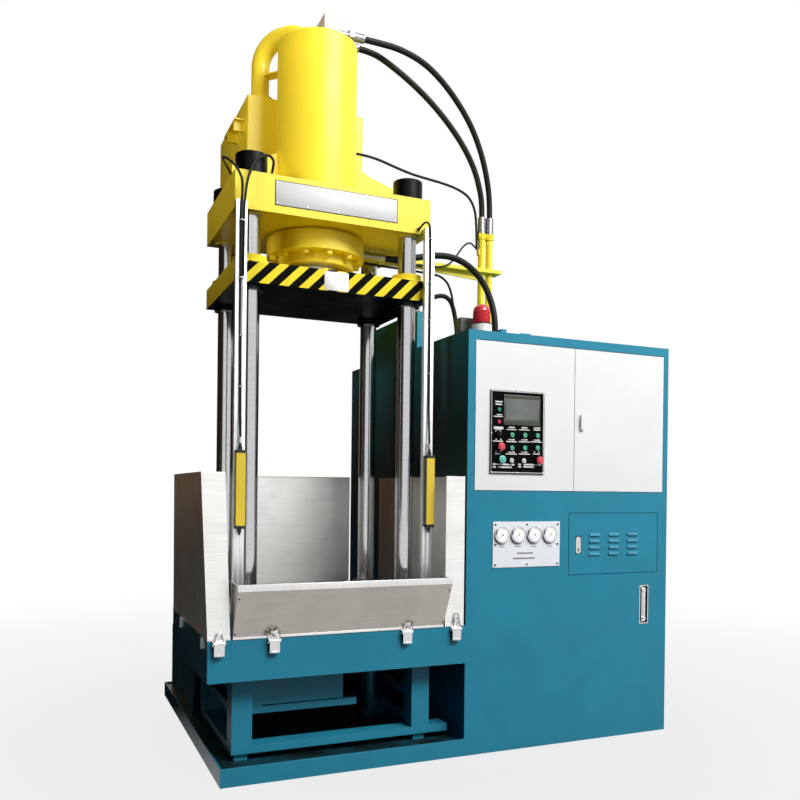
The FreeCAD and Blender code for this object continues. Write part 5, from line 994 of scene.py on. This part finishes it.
class PRESS_OT_panel_face(bpy.types.Operator):
    """Print blank strips on the control panel and fit its frame, screen and button marks"""
    bl_idname = "press.panel_face"
    bl_label = "Panel face"

    def execute(self, context):
        door = "left_door"
        ink, rim, bezel, screen = (bmesh.new() for _ in range(4))
        for across, half, up, tall in STRIPS:
            block(ink, on_panel(across - half, up - tall, 0.35), on_panel(across + half, up + tall))
        for turn in (25, 100):
            start = Matrix.Rotation(math.radians(turn), 3, -ALONG) @ ACROSS
            verts = [ink.verts.new(on_panel(*SELECTOR, out) + start * radius) for radius, out in
                     ((0.0175, 0), (0.0205, 0), (0.0205, 0.35), (0.0175, 0.35))]
            face = ink.faces.new(verts)
            bmesh.ops.spin(ink, geom=verts + list(face.edges) + [face], cent=on_panel(*SELECTOR),
                           axis=-ALONG, angle=math.radians(55), steps=12, use_merge=False)
        piece("panel_print", ink, "print", door)
        for low, high in (((2, 2), (313, 7)), ((2, 409), (313, 414)), ((2, 7), (5, 409)),
                          ((306, 7), (313, 409))):
            block(rim, on_panel(*low, 3.8), on_panel(*high, 2.6), 0.0005)
        piece("panel_frame", rim, "anodised", door)
        for low, high in (((71, 376), (285, 395)), ((71, 243), (285, 275)), ((71, 275), (85, 376)),
                          ((278, 275), (285, 376))):
            block(bezel, on_panel(*low, 7.2), on_panel(*high, 4.0), 0.0012)
        piece("screen_bezel", bezel, "olive", door)
        block(screen, on_panel(84.5, 274.5, 6.3), on_panel(278.5, 376.5, 4.1))
        piece("screen_glass", screen, "screen", door)
        for name, stuff, up in (("pilot_lens_1", "deep_green", 317),
                                ("pilot_lens_2", "signal_red", 256)):
            lens = bmesh.new()
            spun(lens, [(0, 0.0068), (0.0106, 0.0046), (0.0106, 0.006), (0.009, 0.0086),
                        (0.005, 0.0098), (0, 0.0102)], on_panel(46, up), -ALONG, 40)
            piece(name, lens, stuff, door)
        for number, spot in enumerate(BUTTONS, 1):
            key, mark = "push_button_%d" % number, bmesh.new()
            hoop(mark, on_panel(*spot, 10.9), -ALONG, 0.0052, 0.0011)
            dome(mark, on_panel(*spot, 10.9), -ALONG, 0.0026, 0.001)
            piece(key + "_mark", mark, "grey_mark" if number > 6 else "deep_green", key + "_body")
        head, ring, screws = (bmesh.new() for _ in range(3))
        spun(head, [(0, -0.0215), (0.0097, -0.0215), (0.0097, 0.0150), (0.0200, 0.0150),
                    (0.0203, 0.0185), (0.0188, 0.0225), (0.0150, 0.0246), (0, 0.0250)],
             on_panel(*START), -ALONG, 64)
        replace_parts(piece("start_button_head", head, "turquoise", "start_button_body"),
                    "start_button")
        hoop(ring, on_panel(*START, 24.7), -ALONG, 0.0085, 0.0012)
        piece("start_button_mark", ring, "deep_green", "start_button_body")
        for key, spot in STOPS.items():
            mark = bmesh.new()
            hoop(mark, on_panel(*spot, 24.6), -ALONG, 0.0105, 0.0012)
            piece("stop_mark_" + key, mark, "signal_red", "stop_button_%s_body" % key)
        for spot in ((5, 5), (5, 411), (157, 5), (157, 411), (310, 5), (310, 411), (5, 200),
                     (310, 200)):
            dome(screws, on_panel(*spot, 3.7), -ALONG, 0.0032, 0.0015, 16)
        piece("panel_screws", screws, "bright", door)
        return {"FINISHED"}


# --- gauges, lock, sight glass and lamp
GAUGE_PITCH = 0.0945
DIAL_START, DIAL_SWEEP = 225, 270  # degrees
NEEDLES = (4, 11, 7, 2)  # degrees past the zero stop
TICK_OUT, TICK_LONG, TICK_SHORT = 0.031, 0.0255, 0.0278  # radii of a tick's outer and inner end
PLATE_FACE = -0.826


def numeral(mesh, text, size, spot):
    """A number, facing the front, added to a mesh."""
    data = bpy.data.curves.new("numeral", "FONT")
    data.body, data.size, data.extrude = text, size, 0.00012
    data.align_x = data.align_y = "CENTER"
    item = bpy.data.objects.new("numeral", data)
    flat = bpy.data.meshes.new_from_object(item)
    flat.transform(Matrix.Translation(spot) @ Matrix.Rotation(math.pi / 2, 4, "X"))
    mesh.from_mesh(flat)
    bpy.data.objects.remove(item)
    bpy.data.meshes.remove(flat)


class PRESS_OT_dials(bpy.types.Operator):
    """Fit faces, ticks, numbers, needles and glasses to the four pressure gauges"""
    bl_idname = "press.dials"
    bl_label = "Dials"

    def execute(self, context):
        low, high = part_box("pressure_gauges")
        radius = (high.z - low.z) / 2
        ticks = context.scene.press_sizes.dial_ticks
        faces, marks, needles, glasses, strips, screws = (bmesh.new() for _ in range(6))
        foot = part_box("gauge_plate")[0].z
        for number, past in enumerate(NEEDLES):
            middle = Vector((low.x + radius + number * GAUGE_PITCH, low.y + 0.003,
                             (low.z + high.z) / 2))
            rod(faces, middle, middle - ALONG * 0.0005, radius - 0.0092, 64)
            for tick in range(ticks):
                turn = math.radians(DIAL_START - DIAL_SWEEP * tick / (ticks - 1))
                way = Vector((math.cos(turn), 0, math.sin(turn)))
                inner = TICK_SHORT if tick % 5 else TICK_LONG
                bar = Vector((TICK_OUT - inner, 0.0002, 0.0008)) / 2
                made = cuboid(marks, -bar, bar)[0]
                bmesh.ops.rotate(marks, verts=made, cent=(0, 0, 0),
                                 matrix=Matrix.Rotation(-turn, 3, "Y"))
                bmesh.ops.translate(marks, verts=made,
                                    vec=middle - ALONG * 0.0006 + way * (inner + TICK_OUT) / 2)
                if tick % 5 == 0:
                    numeral(marks, str(tick), 0.0058, middle - ALONG * 0.0006 + way * 0.0208)
            turn = math.radians(DIAL_START - past)
            way = Vector((math.cos(turn), 0, math.sin(turn)))
            pivot = middle - ALONG * 0.0014
            rod(needles, pivot - way * 0.008, pivot + way * 0.026, 0.0013, 12, 0.0003)
            rod(needles, middle - ALONG * 0.0004, middle - ALONG * 0.0024, 0.0035)
            spun(glasses, [(0, 0.0026), (radius - 0.0088, 0.0022), (radius - 0.0088, 0.0026),
                           (0, 0.0032)], middle, -ALONG, 48)
            block(strips, (middle.x - 0.017, PLATE_FACE - 0.0004, foot + 0.1015),
                  (middle.x + 0.017, PLATE_FACE, foot + 0.1055))
        for name, mesh, stuff in (("faces", faces, "dial"), ("marks", marks, "ink"),
                                  ("needles", needles, "plastic"), ("glasses", glasses, "glass")):
            piece("gauge_" + name, mesh, stuff)
        for across, half, up in ((0.356, 0.048, 0.070), (0.350, 0.066, 0.044)):
            block(strips, (across - half, PLATE_FACE - 0.0004, foot + up - 0.004),
                  (across + half, PLATE_FACE, foot + up + 0.004))
        piece("gauge_plate_strips", strips, "grey_mark")
        for across in (0.182, 0.3665, 0.551):
            for up in (0.014, 0.216) if across == 0.3665 else (0.014, 0.115, 0.216):
                dome(screws, (across, PLATE_FACE - 0.0028, foot + up), -ALONG, 0.0051, 0.0016)
        piece("gauge_plate_screws", screws, "black")
        return {"FINISHED"}


class PRESS_OT_lock_and_sight(bpy.types.Operator):
    """Shape the vented door's lock lever and line the oil level gauge"""
    bl_idname = "press.lock_and_sight"
    bl_label = "Lock and sight glass"

    def execute(self, context):
        lever, keyhole, liner, strip = (bmesh.new() for _ in range(4))
        low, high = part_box("louvre_lock")
        slab(lever, (low.x, low.y - 0.0005, low.z), high, 0.0148, 0.002)
        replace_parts(piece("lock_lever_plate", lever, "bright", "vent_door_lock"), "louvre_lock")
        middle = Vector(((low.x + high.x) / 2, low.y - 0.0004, low.z + 0.022))
        rod(keyhole, middle, middle - ALONG * 0.0008, 0.0052)
        block(keyhole, middle + Vector((-0.002, -0.0008, -0.011)), middle + Vector((0.002, 0, 0)))
        piece("lock_keyhole", keyhole, "plastic", "vent_door_lock")
        low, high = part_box("level_gauge")
        left, front, foot = low.x + 0.005, -0.8228, low.z + 0.005
        right, back, head = high.x - 0.005, -0.8055, high.z - 0.005
        wall, rail = 0.0008, 0.0115
        for near, far in (((left, front, foot), (left + wall, back, head)),
                          ((right - wall, front, foot), (right, back, head)),
                          ((left, front, foot), (right, back, foot + wall)),
                          ((left, front, head - wall), (right, back, head)),
                          ((left, back - 0.0015, foot), (left + rail, back, head)),
                          ((right - rail, back - 0.0015, foot), (right, back, head))):
            block(liner, near, far)
        piece("sight_liner", liner, "plastic")
        middle = (low.x + high.x) / 2
        block(strip, (middle - 0.0045, -0.8222, low.z + 0.045),
              (middle + 0.0045, -0.8208, high.z - 0.045), 0.0005)
        piece("sight_strip", strip, "print")
        return {"FINISHED"}


class PRESS_OT_lamp(bpy.types.Operator):
    """Mould the warning lamp's ribbed dome and ring"""
    bl_idname = "press.lamp"
    bl_label = "Warning lamp"

    def execute(self, context):
        low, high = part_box("lamp_dome")
        middle = Vector(((low.x + high.x) / 2, (low.y + high.y) / 2, low.z))
        tall, wide = high.z - low.z, (high.x - low.x) / 2
        profile = [(0, 0), (wide, 0), (wide, 0.004)]
        ribs = 9
        step = (tall * 0.66 - 0.006) / ribs
        for rib in range(ribs):
            at = 0.006 + step * rib
            inner = wide * (0.955 - 0.05 * rib / ribs)
            profile += [(inner - 0.0012, at), (inner + 0.0012, at + step * 0.5),
                        (inner - 0.0012, at + step * 0.98)]
        for turn in range(1, 9):
            angle = turn * math.pi / 16
            profile.append((wide * 0.9 * math.cos(angle), tall * (0.66 + 0.34 * math.sin(angle))))
        lens, ring = bmesh.new(), bmesh.new()
        spun(lens, profile, middle, UP, 64)
        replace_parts(piece("lamp_lens", lens, "lamp", sharp=50), "lamp_dome")
        band(ring, middle, UP, wide - 0.002, wide + 0.0035, -0.005, 0.002, 64)
        piece("lamp_ring", ring, "plastic")
        return {"FINISHED"}


# --- fittings of the light curtains and the lower hoses
CURTAINS = LEFT_CURTAIN, RIGHT_CURTAIN = -1084, -148
CURTAIN_ALONG, LEAD_ALONG = -742, -730
TIES = {LEFT_CURTAIN: (2503, 2246, 1990, 1760, 1600),
        RIGHT_CURTAIN: (2543, 2330, 2145, 1880, 1640)}
# the plugs at a curtain's ends: lower end, upper end, radius, and radius at the top
PLUGS = ((1476, 1492, 0.0095, None), (1492, 1504, 0.0075, 0.006), (1108, 1124, 0.009, None),
         (1096, 1108, 0.0055, None))


class PRESS_OT_curtain_fittings(bpy.types.Operator):
    """Add the light curtains' caps, lenses, connectors and leads, tied to the posts"""
    bl_idname = "press.curtain_fittings"
    bl_label = "Light-curtain fittings"

    def execute(self, context):
        caps, lenses, plugs, wraps, glands, braid, ties, covers = (bmesh.new() for _ in range(8))
        for side, across in zip((1, -1), CURTAINS):
            for low, high in ((1124, 1138), (1462, 1476)):
                slab(caps, mm(across - 21.6, -761.8, low), mm(across + 21.6, -722.6, high), 0.004,
                     0.0008)
            block(lenses, mm(across + side * 18.6, -752.6, 1137.5),
                  mm(across + side * 19.6, -731.4, 1462.5))
            for low, high, radius, tip in PLUGS:
                rod(plugs, mm(across, CURTAIN_ALONG, low), mm(across, CURTAIN_ALONG, high),
                    radius, 24, tip)
            for turn in range(6):
                hoop(wraps, mm(across, -741.6 + turn * 0.35, 1508 + 4.6 * turn), UP, 0.0068, 0.002,
                     20)
        for name, mesh, stuff in (("caps", caps, "plastic"), ("lenses", lenses, "screen"),
                                  ("plugs", plugs, "plastic"), ("wraps", wraps, "white_plastic")):
            piece("curtain_" + name, mesh, stuff)
        gland(glands, mm(-1060, -430, 2753), UP, 0.0052)
        gland(glands, mm(-932, -655, 2753), UP, 0.0047)
        gland(glands, mm(-192, -677, 2600), -ALONG, 0.0052)
        piece("lead_glands", glands, "plastic")
        hung_cords(LEADS)
        for across, heights in TIES.items():
            for up in heights:
                # the upper ties of the left post hold two leads
                inner = 0.0137 if across == LEFT_CURTAIN and up > 2240 else 0.0062
                band(ties, mm(across, LEAD_ALONG, up), UP, inner, inner + 0.0016, -0.0022,
                     0.0022, 24)
                block(ties, mm(across + 4, -743, up - 3.5), mm(across + 11, -736.5, up + 3.5),
                      0.0008)
        piece("lead_ties", ties, "white_plastic")
        rod(braid, mm(-1083, LEAD_ALONG, 2250), mm(LEFT_CURTAIN, LEAD_ALONG, 1990), 0.0068, 20)
        piece("lead_braid", braid, "braid")
        for across in CURTAINS:
            for low, high in ((-20.8, -3), (3, 20.8)):
                block(covers, mm(across + low, -723.4, 746), mm(across + high, -721.6, 2599),
                      0.0004)
            block(covers, mm(across - 3.5, -722, 746), mm(across + 3.5, -720, 2599))
        piece("post_covers", covers, "post")
        return {"FINISHED"}


class PRESS_OT_lower_hoses(bpy.types.Operator):
    """Run the drain hose, the charge hose and the sensor cable, with their fittings"""
    bl_idname = "press.lower_hoses"
    bl_label = "Lower hoses"

    def execute(self, context):
        hung_cords(LOWER_HOSES)
        ends, collars = bmesh.new(), bmesh.new()
        rod(ends, mm(-398, -223, 2530), mm(-366, -223, 2530), 0.0095)
        hexagon(ends, mm(-392, -223, 2530), ACROSS, 0.013, 0.012)
        rod(ends, mm(-382, -263, 2546), mm(-349, -263, 2546), 0.0075)
        hexagon(ends, mm(-376, -263, 2546), ACROSS, 0.0105, 0.01)
        for spot, radius in (((266, -223, 2100), 0.0068), ((320, -123, 2100), 0.0134),
                             ((56, -123, 2305), 0.0134), ((330, -545, 2100), 0.0175)):
            gland(ends, mm(*spot), UP, radius)
        for across in RISERS:
            for up in (2800, 2822, 2844, 2866):
                hoop(ends, mm(across, RISER_ALONG, up), UP, 0.0215, 0.0016, 40)
        for along, up in ((-380, 3646), (-292, 3640)):
            for across in (-388, -404, -420):
                hoop(ends, mm(across, along, up), ACROSS, 0.0215, 0.0015, 40)
        piece("hose_fittings", ends, "zinc")
        for across in RISERS:
            hexagon(collars, mm(across, RISER_ALONG, 2764), UP, 0.0275, 0.022)
            band(collars, mm(across, RISER_ALONG, 2752), UP, 0.0201, 0.0245, 0, 0.012, 40)
        piece("riser_collars", collars, "yellow")
        return {"FINISHED"}


# --- the add-on
STEPS = (PRESS_OT_camera, PRESS_OT_hoses, PRESS_OT_lower_hoses, PRESS_OT_curtain_fittings,
         PRESS_OT_stage, PRESS_OT_finishes, PRESS_OT_plates, PRESS_OT_welds, PRESS_OT_fasteners,
         PRESS_OT_guard_trims, PRESS_OT_latch_bails, PRESS_OT_panel_face, PRESS_OT_dials,
         PRESS_OT_lock_and_sight, PRESS_OT_lamp)


class PRESS_PT_panel(bpy.types.Panel):
    """Lists the steps that dress the press"""
    bl_idname = "PRESS_PT_panel"
    bl_label = "Hydraulic Press"
    bl_space_type = "VIEW_3D"
    bl_region_type = "UI"
    bl_category = "Press"

    def draw(self, context):
        for group in (context.scene.press_colours, context.scene.press_sizes):
            for name in group.bl_rna.properties.keys():
                if name not in ("rna_type", "name"):
                    self.layout.prop(group, name)
        for step in STEPS:
            self.layout.operator(step.bl_idname)


CLASSES = (PressColours, PressSizes, *STEPS, PRESS_PT_panel)


def register():
    for one in CLASSES:
        bpy.utils.register_class(one)
    bpy.types.Scene.press_colours = bpy.props.PointerProperty(type=PressColours)
    bpy.types.Scene.press_sizes = bpy.props.PointerProperty(type=PressSizes)


def unregister():
    del bpy.types.Scene.press_sizes
    del bpy.types.Scene.press_colours
    for one in reversed(CLASSES):
        bpy.utils.unregister_class(one)


def main():
    register()
    make_materials(bpy.context.scene.press_colours, bpy.context.scene.press_sizes)
    for step in STEPS:
        getattr(bpy.ops.press, step.bl_idname.split(".")[1])()


if __name__ == "__main__":
    main()
